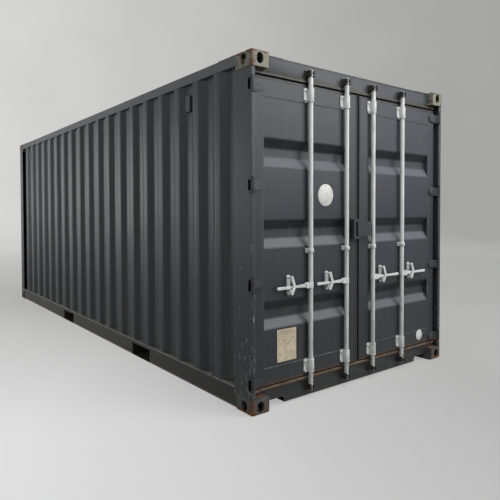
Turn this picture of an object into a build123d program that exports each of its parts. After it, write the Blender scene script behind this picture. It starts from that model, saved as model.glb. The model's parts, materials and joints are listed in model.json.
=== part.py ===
from build123d import *
import os

# A 20-foot dry freight container in millimetres.
# X runs across it, Y along it with the doors at -Y, Z up from the ground.
# The origin is the centre of the footprint.

# Overall envelope
length = 6058.0
width = 2438.0
height = 2591.0
half_length = length / 2
half_width = width / 2

# Corner castings
casting_x = 162.0
casting_y = 178.0
casting_z = 118.0
casting_outer_wall = 28.5
casting_inner_wall = 14.0
casting_round = 14.0
casting_foot_round = 26.0
face_slot_height = 79.5
face_slot_width = 63.5
lock_slot_length = 124.0
lock_slot_width = 63.5
lock_slot_from_side = 89.5
lock_slot_from_end = 102.5

# Planes that the frame members stand back to
side_setback = 4.0
post_setback = 8.0
seal_gap = 5.0
touch_gap = 1.0

# Door end posts
post_plate = 6.0
post_flange_back = 209.0
post_box_width = 105.0

# Front end posts
front_post_side = 150.0
front_post_end = 125.0
front_post_return = 45.0
front_setback = 6.0

# Door leaves
leaf_setback = 50.0
leaf_thickness = 50.0
leaf_edge_from_side = 57.0
leaf_gap = 20.0
leaf_edge_gap = 14.0
stile_width = 100.0
centre_stile_width = 130.0
leaf_top_rail_height = 143.0
leaf_bottom_rail_height = 125.0
leaf_tube_wall = 4.0
panel_setback = 4.0
panel_sheet = 2.5
recess_count = 3
recess_from_bottom = 511.5
recess_from_top = 541.0
recess_flat = 72.0
recess_slope = 66.0
recess_depth = 36.0

# Door seal
seal_width = 12.0
seal_thickness = 16.0
seal_centre_width = 6.0
seal_clearance = 0.5

# Hinges
hinge_count = 4
hinge_from_bottom = 41.0
hinge_from_top = 78.0
hinge_from_side = 22.0
hinge_from_end = 14.0
hinge_pin_radius = 8.0
hinge_fit = 0.08
knuckle_radius = 13.0
blade_height = 76.0
blade_tip_height = 44.0
blade_reach = 150.0
blade_thickness = 12.0
blade_shoulder = 30.0
blade_corner = 7.0
blade_rib_count = 3
blade_rib_height = 3.0
blade_rib_root = 7.0
blade_rib_tip = 3.0
blade_rib_from_tip = 12.0
blade_rib_spread = 24.0
lug_height = 20.0
lug_gap = 1.0
notch_depth = 37.0

# Lock bars
bar_positions = (175.0, 600.0)
bar_radius = 17.0
bar_bore = 14.0
bar_from_end = 25.0
bar_low = 62.0
bar_from_top = 51.0
bar_fit = 0.08
cam_height = 62.0
cam_neck_radius = 12.5
cam_collar_radius = 19.0
cam_collar_height = 8.0
cam_lobe_height = 32.0
cam_lobe_end = 5.0
cam_reach = 20.0
cam_thickness = 12.0
cam_lobe_corner = 4.0

# Bar brackets
bracket_plate = 6.0
bracket_width = 110.0
bracket_height = 110.0
bracket_corner = 14.0
bracket_radius = 24.0
bracket_neck_radius = 20.0
bracket_neck_height = 9.0
bracket_housing_height = 96.0
bracket_from_leaf_top = 83.0
bracket_from_leaf_bottom = 76.0
guide_z = 1150.0
guide_width = 66.0
guide_height = 40.0
guide_housing_height = 34.0
guide_corner = 5.0
guide_neck_height = 6.0

# Cam keepers
keeper_face_setback = 58.0
keeper_plate = 6.0
keeper_width = 76.0
keeper_height = 66.0
keeper_clearance = 1.5
keeper_wall = 6.5
keeper_lip_setback = 0.5
keeper_hook_inset = 10.0
keeper_mouth = 12.0

# Handles
handle_z = 884.0
handle_reach = 362.0
handle_pivot_offset = 42.0
handle_plate = 9.0
handle_from_end = 14.5
handle_eye_radius = 16.0
handle_shank_radius = 9.0
handle_tip_radius = 12.0
handle_shoulder = 120.0
handle_edge = 2.0
rivet_radius = 6.0
rivet_fit = 0.08
hub_cheek = 5.0
hub_gap = 0.5
hub_height = 44.0
hub_length = 62.0
hub_corner = 8.0
hub_sleeve_radius = 20.5

# Handle retainers and their catches
catch_offset = {"left": 220.0, "right": 130.0}
catch_lean = {"left": -1, "right": 1}
retainer_plate = 6.0
retainer_width = 34.0
retainer_height = 150.0
retainer_corner = 12.0
retainer_shelf_width = 26.0
retainer_shelf_height = 13.0
retainer_shelf_front = 14.5
shelf_gap = 7.5
catch_pivot_z = 958.0
catch_eye_z = 842.0
catch_plate = 5.0
catch_front = 4.5
catch_pivot_radius = 14.0
catch_elbow_radius = 11.0
catch_elbow_z = 892.0
catch_elbow_offset = 28.0
catch_eye_radius = 15.0
catch_pin_radius = 8.0
catch_pin_head = 11.0
catch_pin_head_height = 3.2
seal_eye_bore = 6.0

# Lock box and its lug
lock_box_z = 1303.0
lock_box_height = 122.0
lock_box_width = 106.0
lock_box_from_centre = 6.0
lock_box_corner = 6.0
lock_box_from_end = 3.0
lock_box_wall = 4.0
lock_lug_height = 166.0
lock_lug_width = 100.0
lock_lug_arm = 22.0
lock_lug_back = 26.0

# Data plate on the left leaf
plate_from_panel_foot = 144.5
plate_width = 204.0
plate_height = 249.0
plate_corner = 6.0
plate_thickness = 1.5

# Header and sill of the door frame
frame_from_top = 6.0
header_height = 143.0
header_depth = 96.0
lip_forward = 10.0
header_lip_height = 16.0
sill_lip_height = 18.0
member_plate = 4.0
door_stop_height = 32.0
sill_plate = 6.0
sill_bottom = 15.0
sill_top = 165.0
sill_depth = 92.0
sill_cut_from_side = 140.0
sill_cut_width = 150.0
sill_cut_top = 60.0
sill_cut_radius = 30.0

# Side rails
rail_setback = 6.0
top_rail_height = 77.0
top_rail_width = 60.0
top_rail_plate = 4.0
bottom_rail_top = 172.0
bottom_rail_plate = 4.5
bottom_rail_flange = 48.0

# Corrugated side walls
wall_sheet = 2.0
wall_crest_setback = 8.0
wall_depth = 36.0
wall_crest = 76.0
wall_slope = 71.0
wall_crest_count = 19
wall_first_crest = 410.0
wall_last_crest = 390.0

# Corrugated front wall
front_depth = 45.0
front_crest = 110.0
front_slope = 18.0
front_crest_count = 8
front_wall_setback = 14.0
front_rail_depth = 60.0

# Roof
roof_sheet = 2.0
roof_depth = 18.0
roof_trough_count = 22
roof_trough_width = 130.0
roof_trough_slope = 45.0
roof_edge = 70.0
roof_end_margin = 20.0
roof_plate_length = 220.0
roof_plate_width = 200.0
roof_plate_thickness = 3.0

# Floor and understructure
floor_thickness = 28.0
floor_board_count = 6
cross_member_flange = 45.0
cross_member_plate = 4.0
cross_member_from_end = 369.0
cross_member_count = 20
pocket_spacing = 2050.0
pocket_offset = -308.0
pocket_width = 360.0
pocket_plate = 4.0

# Vents high on the side walls
vent_width = 70.0
vent_height = 140.0
vent_depth = 22.0
vent_below_rail = 83.0
vent_corner = 12.0
vent_taper = 12.0
vent_wall = 5.0
vent_shell = 2.0

# Worked out from the driving sizes: the frame
side_face = half_width - side_setback
rail_face = half_width - rail_setback
post_front = -half_length + post_setback
post_back = -half_length + post_flange_back
front_face = half_length - front_setback
front_post_back = half_length - front_post_side
casting_inner_x = half_width - casting_x
casting_inner_y = half_length - casting_y
frame_top = height - frame_from_top
header_bottom = frame_top - header_height
top_rail_bottom = frame_top - top_rail_height
floor_top = sill_top
floor_bottom = floor_top - floor_thickness
pocket_places = (pocket_offset - pocket_spacing / 2, pocket_offset + pocket_spacing / 2)

# Worked out from the driving sizes: the leaves, seen on the right
leaf_front = -half_length + leaf_setback
leaf_back = leaf_front + leaf_thickness
seal_plane = leaf_back + seal_gap
leaf_outer = half_width - leaf_edge_from_side
leaf_inner = leaf_gap / 2
leaf_bottom = sill_top + leaf_edge_gap
leaf_top = header_bottom - leaf_edge_gap
panel_front = leaf_front + panel_setback
panel_left = leaf_inner + centre_stile_width
panel_right = leaf_outer - stile_width
panel_bottom = leaf_bottom + leaf_bottom_rail_height
panel_top = leaf_top - leaf_top_rail_height

# Worked out from the driving sizes: hinges, bars and handles
hinge_x = half_width - hinge_from_side
hinge_y = -half_length + hinge_from_end
bar_y = -half_length + bar_from_end
bar_high = height - bar_from_top
keeper_face = -half_length + keeper_face_setback
handle_front = -half_length + handle_from_end
catch_face = -half_length + catch_front

os.makedirs("parts", exist_ok=True)


def keep(piece, label):
    """Label a finished piece and write it as a STEP file of that name."""
    piece.part.label = label
    export_step(piece.part, f"parts/{label}.step")


def mirrored(piece):
    """The same piece on the other side of the container's middle plane."""
    with BuildPart() as twin:
        mirror(piece.part, about=Plane.YZ)
    return twin


def on_side(piece, side):
    """Pieces are drawn on the right; the left one is their mirror image."""
    return piece if side == "right" else mirrored(piece)


def plan(z):
    """Sketch plane seen from above at a height."""
    return Plane.XY.offset(z)


def front_view(y):
    """Sketch plane seen from the door end: X to the right, Z up, facing -Y."""
    return Plane(origin=(0, y, 0), x_dir=(1, 0, 0), z_dir=(0, -1, 0))


def side_view(x):
    """Sketch plane seen from the right: Y to the right, Z up, facing +X."""
    return Plane(origin=(x, 0, 0), x_dir=(0, 1, 0), z_dir=(1, 0, 0))


def wave(low, high, centres, crest, slope, start, end):
    """Points of a trapezoid wave: (place, level), low between the crests."""
    points = [(start, low)]
    for centre in centres:
        points += [
            (centre - crest / 2 - slope, low),
            (centre - crest / 2, high),
            (centre + crest / 2, high),
            (centre + crest / 2 + slope, low),
        ]
    return points + [(end, low)]


def spaced(first, last, count):
    """Evenly spaced places from first to last."""
    return [first + (last - first) * i / (count - 1) for i in range(count)]


hinge_heights = spaced(leaf_bottom + hinge_from_bottom, leaf_top - hinge_from_top, hinge_count)
recess_heights = spaced(leaf_bottom + recess_from_bottom, leaf_top - recess_from_top, recess_count)


def clear_top_castings():
    """Cut a sheet away where the four top castings stand."""
    places = [
        (x * (half_width - casting_x / 2), y * (half_length - casting_y / 2), height - casting_z / 2)
        for x in (-1, 1)
        for y in (-1, 1)
    ]
    with Locations(*places):
        Box(casting_x, casting_y, casting_z, mode=Mode.SUBTRACT)


# Corner castings: hollow boxes with a slot in each outer face
def corner_castings(top):
    """Four castings of one level, drawn at the near left corner and mirrored."""
    z_low = height - casting_z if top else 0.0
    z_outer = height if top else 0.0
    with BuildPart() as castings:
        with Locations((-half_width + casting_x / 2, -half_length + casting_y / 2, z_low + casting_z / 2)):
            Box(casting_x, casting_y, casting_z)
        corner = (-half_width, -half_length, z_outer)
        meeting = castings.edges().sort_by_distance(corner)[:3]
        fillet(meeting, radius=casting_round if top else casting_foot_round)
        cavity_x = casting_x - casting_outer_wall - casting_inner_wall
        cavity_y = casting_y - casting_outer_wall - casting_inner_wall
        cavity_z = casting_z - casting_outer_wall - casting_inner_wall
        cavity_low = z_low + (casting_inner_wall if top else casting_outer_wall)
        with Locations(
            (
                -half_width + casting_outer_wall + cavity_x / 2,
                -half_length + casting_outer_wall + cavity_y / 2,
                cavity_low + cavity_z / 2,
            )
        ):
            Box(cavity_x, cavity_y, cavity_z, mode=Mode.SUBTRACT)
        slot_z = z_low + casting_z / 2
        with BuildSketch(front_view(-half_length)):
            with Locations((-half_width + casting_x / 2, slot_z)):
                SlotOverall(face_slot_height, face_slot_width, rotation=90)
        extrude(amount=-casting_outer_wall, mode=Mode.SUBTRACT)
        with BuildSketch(side_view(-half_width)):
            with Locations((-half_length + casting_y / 2, slot_z)):
                SlotOverall(face_slot_height, face_slot_width, rotation=90)
        extrude(amount=casting_outer_wall, mode=Mode.SUBTRACT)
        with BuildSketch(plan(z_outer)):
            with Locations((-half_width + lock_slot_from_side, -half_length + lock_slot_from_end)):
                SlotOverall(lock_slot_length, lock_slot_width, rotation=90)
        extrude(amount=-casting_outer_wall if top else casting_outer_wall, mode=Mode.SUBTRACT)
        mirror(about=Plane.YZ)
        mirror(about=Plane.XZ)
    return castings


keep(corner_castings(top=True), "corner_castings_top")
keep(corner_castings(top=False), "corner_castings_bottom")

# Door end posts: a box with a flange standing forward beside the leaf
post_low = casting_z
post_high = height - casting_z
box_inner = side_face - post_box_width
with BuildPart() as door_post:
    with BuildSketch(plan(post_low)):
        with BuildLine():
            Polyline(
                (side_face, post_front),
                (side_face, post_back),
                (box_inner, post_back),
                (box_inner, seal_plane),
                (side_face - post_plate, seal_plane),
                (side_face - post_plate, post_front),
                close=True,
            )
        make_face()
        with Locations((side_face - post_box_width / 2, (seal_plane + post_back) / 2)):
            Rectangle(
                post_box_width - 2 * post_plate,
                post_back - seal_plane - 2 * post_plate,
                mode=Mode.SUBTRACT,
            )
    extrude(amount=post_high - post_low)
    notch_height = blade_height + 2 * (lug_height + lug_gap)
    with Locations(*[(side_face, post_front + notch_depth / 2, z) for z in hinge_heights]):
        Box(4 * post_plate, notch_depth, notch_height, mode=Mode.SUBTRACT)

for side in ("left", "right"):
    keep(on_side(door_post, side), f"door_post_{side}")

# Hinge lugs welded into the post's notches, each pair with its pin
lug_top = blade_height / 2 + lug_gap
lug_outer = side_face
with BuildPart() as hinge_lugs:
    for z in hinge_heights:
        for foot in (z + lug_top, z - lug_top - lug_height):
            with BuildSketch(plan(foot)):
                with Locations((hinge_x, hinge_y)):
                    Circle(knuckle_radius)
                with BuildLine():
                    Polyline(
                        (hinge_x - knuckle_radius, hinge_y),
                        (hinge_x - knuckle_radius / 2, post_front + notch_depth),
                        (lug_outer, post_front + notch_depth),
                        (lug_outer, hinge_y),
                        close=True,
                    )
                make_face()
            extrude(amount=lug_height)
        with BuildSketch(plan(z - lug_top)):
            with Locations((hinge_x, hinge_y)):
                Circle(hinge_pin_radius)
        extrude(amount=2 * lug_top)

for side in ("left", "right"):
    keep(on_side(hinge_lugs, side), f"hinge_lugs_{side}")

# Front end posts: a bent plate with two faces and an inner return
with BuildPart() as front_post:
    with BuildSketch(plan(post_low)):
        with BuildLine():
            Polyline(
                (side_face, front_post_back),
                (side_face, front_face),
                (side_face - front_post_end, front_face),
                (side_face - front_post_end, front_face - front_post_return),
            )
            offset(amount=post_plate, side=Side.LEFT, closed=True, kind=Kind.INTERSECTION)
        make_face()
    extrude(amount=post_high - post_low)

for side in ("left", "right"):
    keep(on_side(front_post, side), f"front_post_{side}")

# Door header: a hollow box beam with a stop lip behind the leaves
header_back = keeper_face + header_depth
with BuildPart() as door_header:
    with BuildSketch(side_view(-casting_inner_x)):
        with Locations(((keeper_face + header_back) / 2, (header_bottom + frame_top) / 2)):
            Rectangle(header_depth, frame_top - header_bottom)
            Rectangle(
                header_depth - 2 * member_plate,
                frame_top - header_bottom - 2 * member_plate,
                mode=Mode.SUBTRACT,
            )
        with Locations((seal_plane + member_plate / 2, header_bottom - door_stop_height / 2)):
            Rectangle(member_plate, door_stop_height)
        with Locations((keeper_face - lip_forward / 2, header_bottom + header_lip_height / 2)):
            Rectangle(lip_forward, header_lip_height)
    extrude(amount=2 * casting_inner_x)
keep(door_header, "door_header")

# Door sill: a channel with a raised cut-out beside each casting
sill_back = keeper_face + sill_depth
with BuildPart() as door_sill:
    with BuildSketch(side_view(-casting_inner_x)):
        with BuildLine():
            Polyline(
                (sill_back, sill_bottom),
                (keeper_face, sill_bottom),
                (keeper_face, sill_top),
                (sill_back, sill_top),
            )
            offset(amount=sill_plate, side=Side.RIGHT, closed=True, kind=Kind.INTERSECTION)
        make_face()
        with Locations((keeper_face - lip_forward / 2, sill_top - sill_lip_height / 2)):
            Rectangle(lip_forward, sill_lip_height)
    extrude(amount=2 * casting_inner_x)
    cut_out_x = half_width - sill_cut_from_side - sill_cut_width / 2
    with BuildSketch(front_view(keeper_face)) as cut_out:
        with Locations((cut_out_x, sill_cut_top / 2), (-cut_out_x, sill_cut_top / 2)):
            Rectangle(sill_cut_width, sill_cut_top)
        fillet(cut_out.vertices().group_by(Axis.Z)[-1], radius=sill_cut_radius)
    extrude(amount=-sill_depth, mode=Mode.SUBTRACT)
keep(door_sill, "door_sill")

# Front top rail: a square tube between the far castings
with BuildPart() as front_top_rail:
    with BuildSketch(side_view(-casting_inner_x)):
        with Locations((front_face - front_rail_depth / 2, frame_top - top_rail_height / 2)):
            Rectangle(front_rail_depth, top_rail_height)
            Rectangle(
                front_rail_depth - 2 * top_rail_plate,
                top_rail_height - 2 * top_rail_plate,
                mode=Mode.SUBTRACT,
            )
    extrude(amount=2 * casting_inner_x)
keep(front_top_rail, "front_top_rail")

# Front bottom rail: a channel open to the inside
with BuildPart() as front_bottom_rail:
    with BuildSketch(side_view(-casting_inner_x)):
        with BuildLine():
            Polyline(
                (front_face - sill_depth, sill_bottom),
                (front_face, sill_bottom),
                (front_face, sill_top),
                (front_face - sill_depth, sill_top),
            )
            offset(amount=sill_plate, side=Side.LEFT, closed=True, kind=Kind.INTERSECTION)
        make_face()
    extrude(amount=2 * casting_inner_x)
keep(front_bottom_rail, "front_bottom_rail")

# Top side rails: tubes between the castings
with BuildPart() as top_side_rail:
    with BuildSketch(Plane.XZ.offset(casting_inner_y)):
        with Locations((rail_face - top_rail_width / 2, frame_top - top_rail_height / 2)):
            Rectangle(top_rail_width, top_rail_height)
            Rectangle(
                top_rail_width - 2 * top_rail_plate,
                top_rail_height - 2 * top_rail_plate,
                mode=Mode.SUBTRACT,
            )
    extrude(amount=-2 * casting_inner_y)

for side in ("left", "right"):
    keep(on_side(top_side_rail, side), f"top_side_rail_{side}")

# Bottom side rails: channels open inwards, cut away at the fork pockets
pocket_outer_width = pocket_width + 2 * pocket_plate
with BuildPart() as bottom_side_rail:
    with BuildSketch(Plane.XZ.offset(casting_inner_y)):
        with BuildLine():
            Polyline(
                (rail_face - bottom_rail_flange, sill_bottom),
                (rail_face, sill_bottom),
                (rail_face, bottom_rail_top),
                (rail_face - bottom_rail_flange, bottom_rail_top),
            )
            offset(amount=bottom_rail_plate, side=Side.LEFT, closed=True, kind=Kind.INTERSECTION)
        make_face()
    extrude(amount=-(casting_inner_y + front_post_back))
    with Locations((rail_face, post_back - casting_y / 2, casting_z + casting_z / 2)):
        Box(3 * bottom_rail_flange, casting_y, casting_z, mode=Mode.SUBTRACT)
    with Locations((rail_face, casting_inner_y + casting_y / 2, casting_z / 2)):
        Box(3 * bottom_rail_flange, casting_y, casting_z, mode=Mode.SUBTRACT)
    with Locations(*[(rail_face, y, (sill_bottom + floor_bottom) / 2) for y in pocket_places]):
        Box(3 * bottom_rail_flange, pocket_outer_width, floor_bottom - sill_bottom, mode=Mode.SUBTRACT)

for side in ("left", "right"):
    keep(on_side(bottom_side_rail, side), f"bottom_side_rail_{side}")

# Fork pockets: rectangular tubes right through, set off the middle towards the doors
with BuildPart() as fork_pockets:
    with BuildSketch(side_view(-rail_face)):
        with Locations(*[(y, (sill_bottom + floor_bottom) / 2) for y in pocket_places]):
            Rectangle(pocket_outer_width, floor_bottom - sill_bottom)
            Rectangle(pocket_width, floor_bottom - sill_bottom - 2 * pocket_plate, mode=Mode.SUBTRACT)
    extrude(amount=2 * rail_face)
keep(fork_pockets, "fork_pockets")

# Cross members: channels that carry the floor, left out where the pockets are
member_bottom = sill_bottom + bottom_rail_plate
member_reach = rail_face - bottom_rail_plate
member_last = half_length - cross_member_from_end
pocket_zone = (pocket_outer_width + cross_member_flange) / 2 + touch_gap
with BuildPart() as cross_members:
    for y in spaced(-member_last, member_last, cross_member_count):
        if any(abs(y - pocket) < pocket_zone for pocket in pocket_places):
            continue
        with BuildSketch(side_view(-member_reach)):
            with BuildLine():
                Polyline(
                    (y + cross_member_flange / 2, member_bottom),
                    (y - cross_member_flange / 2, member_bottom),
                    (y - cross_member_flange / 2, floor_bottom),
                    (y + cross_member_flange / 2, floor_bottom),
                )
                offset(amount=cross_member_plate, side=Side.RIGHT, closed=True, kind=Kind.INTERSECTION)
            make_face()
        extrude(amount=2 * member_reach)
keep(cross_members, "cross_members")

# Plywood floor in separate boards across the container
floor_near = sill_back + touch_gap
floor_far = front_face - sill_depth - touch_gap
board_length = (floor_far - floor_near - (floor_board_count - 1) * touch_gap) / floor_board_count
floor_width = 2 * (rail_face - bottom_rail_flange - touch_gap)
with BuildPart() as floor_boards:
    for i in range(floor_board_count):
        board_near = floor_near + i * (board_length + touch_gap)
        with Locations((0, board_near + board_length / 2, floor_bottom + floor_thickness / 2)):
            Box(floor_width, board_length, floor_thickness)
    notch_y = post_back + touch_gap - casting_y / 2
    notch_z = floor_bottom + floor_thickness / 2
    with Locations((-side_face, notch_y, notch_z), (side_face, notch_y, notch_z)):
        Box(2 * (post_box_width + touch_gap), casting_y, floor_thickness, mode=Mode.SUBTRACT)
keep(floor_boards, "floor_boards")

# Side walls: one corrugated sheet each, between the rails and posts
wall_face = half_width - wall_crest_setback
crest_places = spaced(-half_length + wall_first_crest, half_length - wall_last_crest, wall_crest_count)
wall_line = wave(
    wall_face - wall_depth, wall_face, crest_places, wall_crest, wall_slope, post_back, front_post_back
)
with BuildPart() as side_wall:
    with BuildSketch(plan(bottom_rail_top)):
        with BuildLine():
            Polyline(*[(level, place) for place, level in wall_line])
            offset(amount=wall_sheet, side=Side.LEFT, closed=True, kind=Kind.INTERSECTION)
        make_face()
    extrude(amount=top_rail_bottom - bottom_rail_top)
    clear_top_castings()

for side in ("left", "right"):
    keep(on_side(side_wall, side), f"side_wall_{side}")

# Front wall: deeper, steeper corrugations between the front posts
front_wall_face = half_length - front_wall_setback
front_wall_edge = side_face - front_post_end
front_pitch_end = front_wall_edge - front_crest
front_places = spaced(-front_pitch_end, front_pitch_end, front_crest_count)
front_line = wave(
    front_wall_face - front_depth,
    front_wall_face,
    front_places,
    front_crest,
    front_slope,
    -front_wall_edge,
    front_wall_edge,
)
with BuildPart() as front_wall:
    with BuildSketch(plan(sill_top)):
        with BuildLine():
            Polyline(*front_line)
            offset(amount=wall_sheet, side=Side.RIGHT, closed=True, kind=Kind.INTERSECTION)
        make_face()
    extrude(amount=top_rail_bottom - sill_top)
    clear_top_castings()
keep(front_wall, "front_wall")

# Roof: a sheet with troughs pressed across it that stop short of its edges
roof_near = header_back
roof_far = front_face - front_rail_depth
roof_width = 2 * (rail_face - top_rail_width)
roof_plate_back = casting_inner_y - roof_plate_length
first_trough = -roof_plate_back + roof_end_margin + roof_trough_width / 2
trough_places = spaced(first_trough, -first_trough, roof_trough_count)
trough_length = roof_width - 2 * roof_edge
mouths = (
    (trough_length, roof_trough_width, frame_top - roof_sheet, Mode.ADD),
    (trough_length - 2 * roof_sheet, roof_trough_width - 2 * roof_sheet, frame_top, Mode.SUBTRACT),
)
with BuildPart() as roof_panel:
    with Locations((0, (roof_near + roof_far) / 2, frame_top - roof_sheet / 2)):
        Box(roof_width, roof_far - roof_near, roof_sheet)
    for mouth_length, mouth_width, top, mode in mouths:
        for y in trough_places:
            with BuildSketch(plan(top)):
                with Locations((0, y)):
                    Rectangle(mouth_length, mouth_width)
            with BuildSketch(plan(top - roof_depth)):
                with Locations((0, y)):
                    Rectangle(mouth_length - 2 * roof_trough_slope, mouth_width - 2 * roof_trough_slope)
            loft(mode=mode)
    clear_top_castings()
keep(roof_panel, "roof_panel")

# Doubling plates on the roof beside the castings, where a missed hook would land
with BuildPart() as roof_corner_plates:
    with BuildSketch(plan(frame_top)):
        for x in (-1, 1):
            for y in (-1, 1):
                plate_x = x * (rail_face + casting_inner_x - roof_plate_width) / 2
                plate_y = y * (front_face + roof_plate_back) / 2
                with Locations((plate_x, plate_y)):
                    Rectangle(rail_face - casting_inner_x + roof_plate_width, front_face - roof_plate_back)
        for x in (-1, 1):
            for y in (-1, 1):
                with Locations((x * (half_width - casting_x / 2), y * (half_length - casting_y / 2))):
                    Rectangle(casting_x, casting_y, mode=Mode.SUBTRACT)
        with Locations((0, -half_length)):
            Rectangle(width, 2 * keeper_face_setback, mode=Mode.SUBTRACT)
    extrude(amount=roof_plate_thickness)
keep(roof_corner_plates, "roof_corner_plates")

# Cam keepers on the header and sill: a plate with two hooks round each cam
keeper_front = keeper_face - keeper_plate
sweep_radius = (cam_reach**2 + (cam_thickness / 2) ** 2) ** 0.5 + keeper_clearance
lip_front = -half_length + keeper_lip_setback
with BuildPart() as cam_keepers:
    for x in bar_positions + tuple(-x for x in bar_positions):
        for z in (bar_low + cam_height / 2, bar_high - cam_height / 2):
            with Locations((x, keeper_face - keeper_plate / 2, z)):
                Box(keeper_width, keeper_plate, keeper_height)
            with BuildSketch(plan(z - keeper_height / 2 + keeper_hook_inset)):
                hook_width = sweep_radius + keeper_wall - keeper_mouth
                hook_x = keeper_mouth + hook_width / 2
                with Locations(*[(x + hand * hook_x, (keeper_front + lip_front) / 2) for hand in (-1, 1)]):
                    Rectangle(hook_width, keeper_front - lip_front)
                with Locations((x, bar_y)):
                    Circle(sweep_radius, mode=Mode.SUBTRACT)
            extrude(amount=keeper_height - 2 * keeper_hook_inset)
keep(cam_keepers, "cam_keepers")

# Vent covers: small hoods with an open underside, high on the side walls
vent_seat = wall_face - wall_depth
vent_z = top_rail_bottom - vent_below_rail - vent_height / 2
with BuildPart() as vent_covers:
    for before, after in (crest_places[1:3], crest_places[-2:]):
        y = (before + after) / 2
        with BuildSketch(side_view(vent_seat)):
            with Locations((y, vent_z)):
                RectangleRounded(vent_width, vent_height, vent_corner)
        extrude(amount=vent_depth, taper=vent_taper)
        with BuildSketch(side_view(vent_seat)):
            with Locations((y, vent_z - vent_wall)):
                Rectangle(vent_width - 2 * vent_wall, vent_height)
        extrude(amount=vent_depth - vent_shell, taper=vent_taper, mode=Mode.SUBTRACT)
    mirror(about=Plane.YZ)
keep(vent_covers, "vent_covers")


# Door leaf: a frame of hollow members, pressed panel, seal and ironwork
def leaf_frame():
    """Hollow members round the leaf's panel."""
    wall = leaf_tube_wall
    with BuildPart() as frame:
        with BuildSketch(front_view(leaf_back)):
            with Locations(((leaf_inner + leaf_outer) / 2, (leaf_bottom + leaf_top) / 2)):
                Rectangle(leaf_outer - leaf_inner, leaf_top - leaf_bottom)
            with Locations(((panel_left + panel_right) / 2, (panel_bottom + panel_top) / 2)):
                Rectangle(panel_right - panel_left, panel_top - panel_bottom, mode=Mode.SUBTRACT)
        extrude(amount=leaf_thickness)
        with BuildSketch(front_view(leaf_back - wall)):
            for low_x, high_x, low_z, high_z in (
                (leaf_inner, panel_left, leaf_bottom, leaf_top),
                (panel_right, leaf_outer, leaf_bottom, leaf_top),
                (panel_left + wall, panel_right - wall, leaf_bottom, panel_bottom),
                (panel_left + wall, panel_right - wall, panel_top, leaf_top),
            ):
                with Locations(((low_x + high_x) / 2, (low_z + high_z) / 2)):
                    Rectangle(high_x - low_x - 2 * wall, high_z - low_z - 2 * wall)
        extrude(amount=leaf_thickness - 2 * wall, mode=Mode.SUBTRACT)
    return frame


def leaf_panel():
    """Pressed sheet with level recesses that end against the stiles."""
    line = wave(
        panel_front,
        panel_front + recess_depth,
        recess_heights,
        recess_flat,
        recess_slope,
        panel_bottom,
        panel_top,
    )
    with BuildPart() as panel:
        with BuildSketch(side_view(panel_left)):
            with BuildLine():
                Polyline(*[(level, place) for place, level in line])
                offset(amount=panel_sheet, side=Side.RIGHT, closed=True, kind=Kind.INTERSECTION)
            make_face()
        extrude(amount=panel_right - panel_left)
    return panel


def leaf_seal():
    """Rubber strip round the leaf's back edge."""
    low = leaf_bottom - (leaf_edge_gap - seal_clearance)
    high = leaf_top + (leaf_edge_gap - seal_clearance)
    left = leaf_inner - seal_centre_width
    right = leaf_outer + seal_width
    with BuildPart() as seal:
        with BuildSketch(front_view(leaf_back)):
            with Locations(((left + right) / 2, (low + high) / 2)):
                Rectangle(right - left, high - low)
            with Locations(((leaf_inner + leaf_outer) / 2, (leaf_bottom + leaf_top) / 2)):
                Rectangle(leaf_outer - leaf_inner, leaf_top - leaf_bottom, mode=Mode.SUBTRACT)
        extrude(amount=seal_thickness)
    return seal


def leaf_hinges():
    """Tapered blades on the leaf's face, each with a knuckle round its pin."""
    blade_front = leaf_front - blade_thickness
    tip_x = half_width - blade_reach
    root_x = hinge_x - knuckle_radius
    with BuildPart() as hinges:
        for z in hinge_heights:
            with BuildSketch(front_view(leaf_front)) as blade:
                with BuildLine():
                    Polyline(
                        (root_x, z - blade_height / 2),
                        (leaf_outer - blade_shoulder, z - blade_height / 2),
                        (tip_x, z - blade_tip_height / 2),
                        (tip_x, z + blade_tip_height / 2),
                        (leaf_outer - blade_shoulder, z + blade_height / 2),
                        (root_x, z + blade_height / 2),
                        close=True,
                    )
                make_face()
                fillet(blade.vertices().group_by(Axis.X)[0], radius=blade_corner)
            extrude(amount=blade_thickness)
            with BuildSketch(front_view(blade_front)):
                for i in range(blade_rib_count):
                    rib = i - (blade_rib_count - 1) / 2
                    with BuildSketch(mode=Mode.PRIVATE) as finger:
                        with Locations((root_x - blade_rib_root, z + rib * blade_rib_spread)):
                            Circle(blade_rib_root)
                        with Locations((tip_x + blade_rib_from_tip, z + rib * blade_rib_spread / 2)):
                            Circle(blade_rib_tip)
                        make_hull()
                    add(finger.sketch)
            extrude(amount=blade_rib_height)
            with BuildSketch(plan(z - blade_height / 2)):
                with BuildLine():
                    Polyline(
                        (root_x - blade_thickness, blade_front),
                        (root_x - blade_thickness, leaf_front),
                        (root_x + blade_thickness / 2, leaf_front),
                        (hinge_x, hinge_y + knuckle_radius / 2),
                        (hinge_x, hinge_y),
                        (hinge_x - knuckle_radius, hinge_y),
                        close=True,
                    )
                make_face()
                with Locations((hinge_x, hinge_y)):
                    Circle(knuckle_radius)
                    Circle(hinge_pin_radius + hinge_fit, mode=Mode.SUBTRACT)
            extrude(amount=blade_height)
    return hinges


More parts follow.
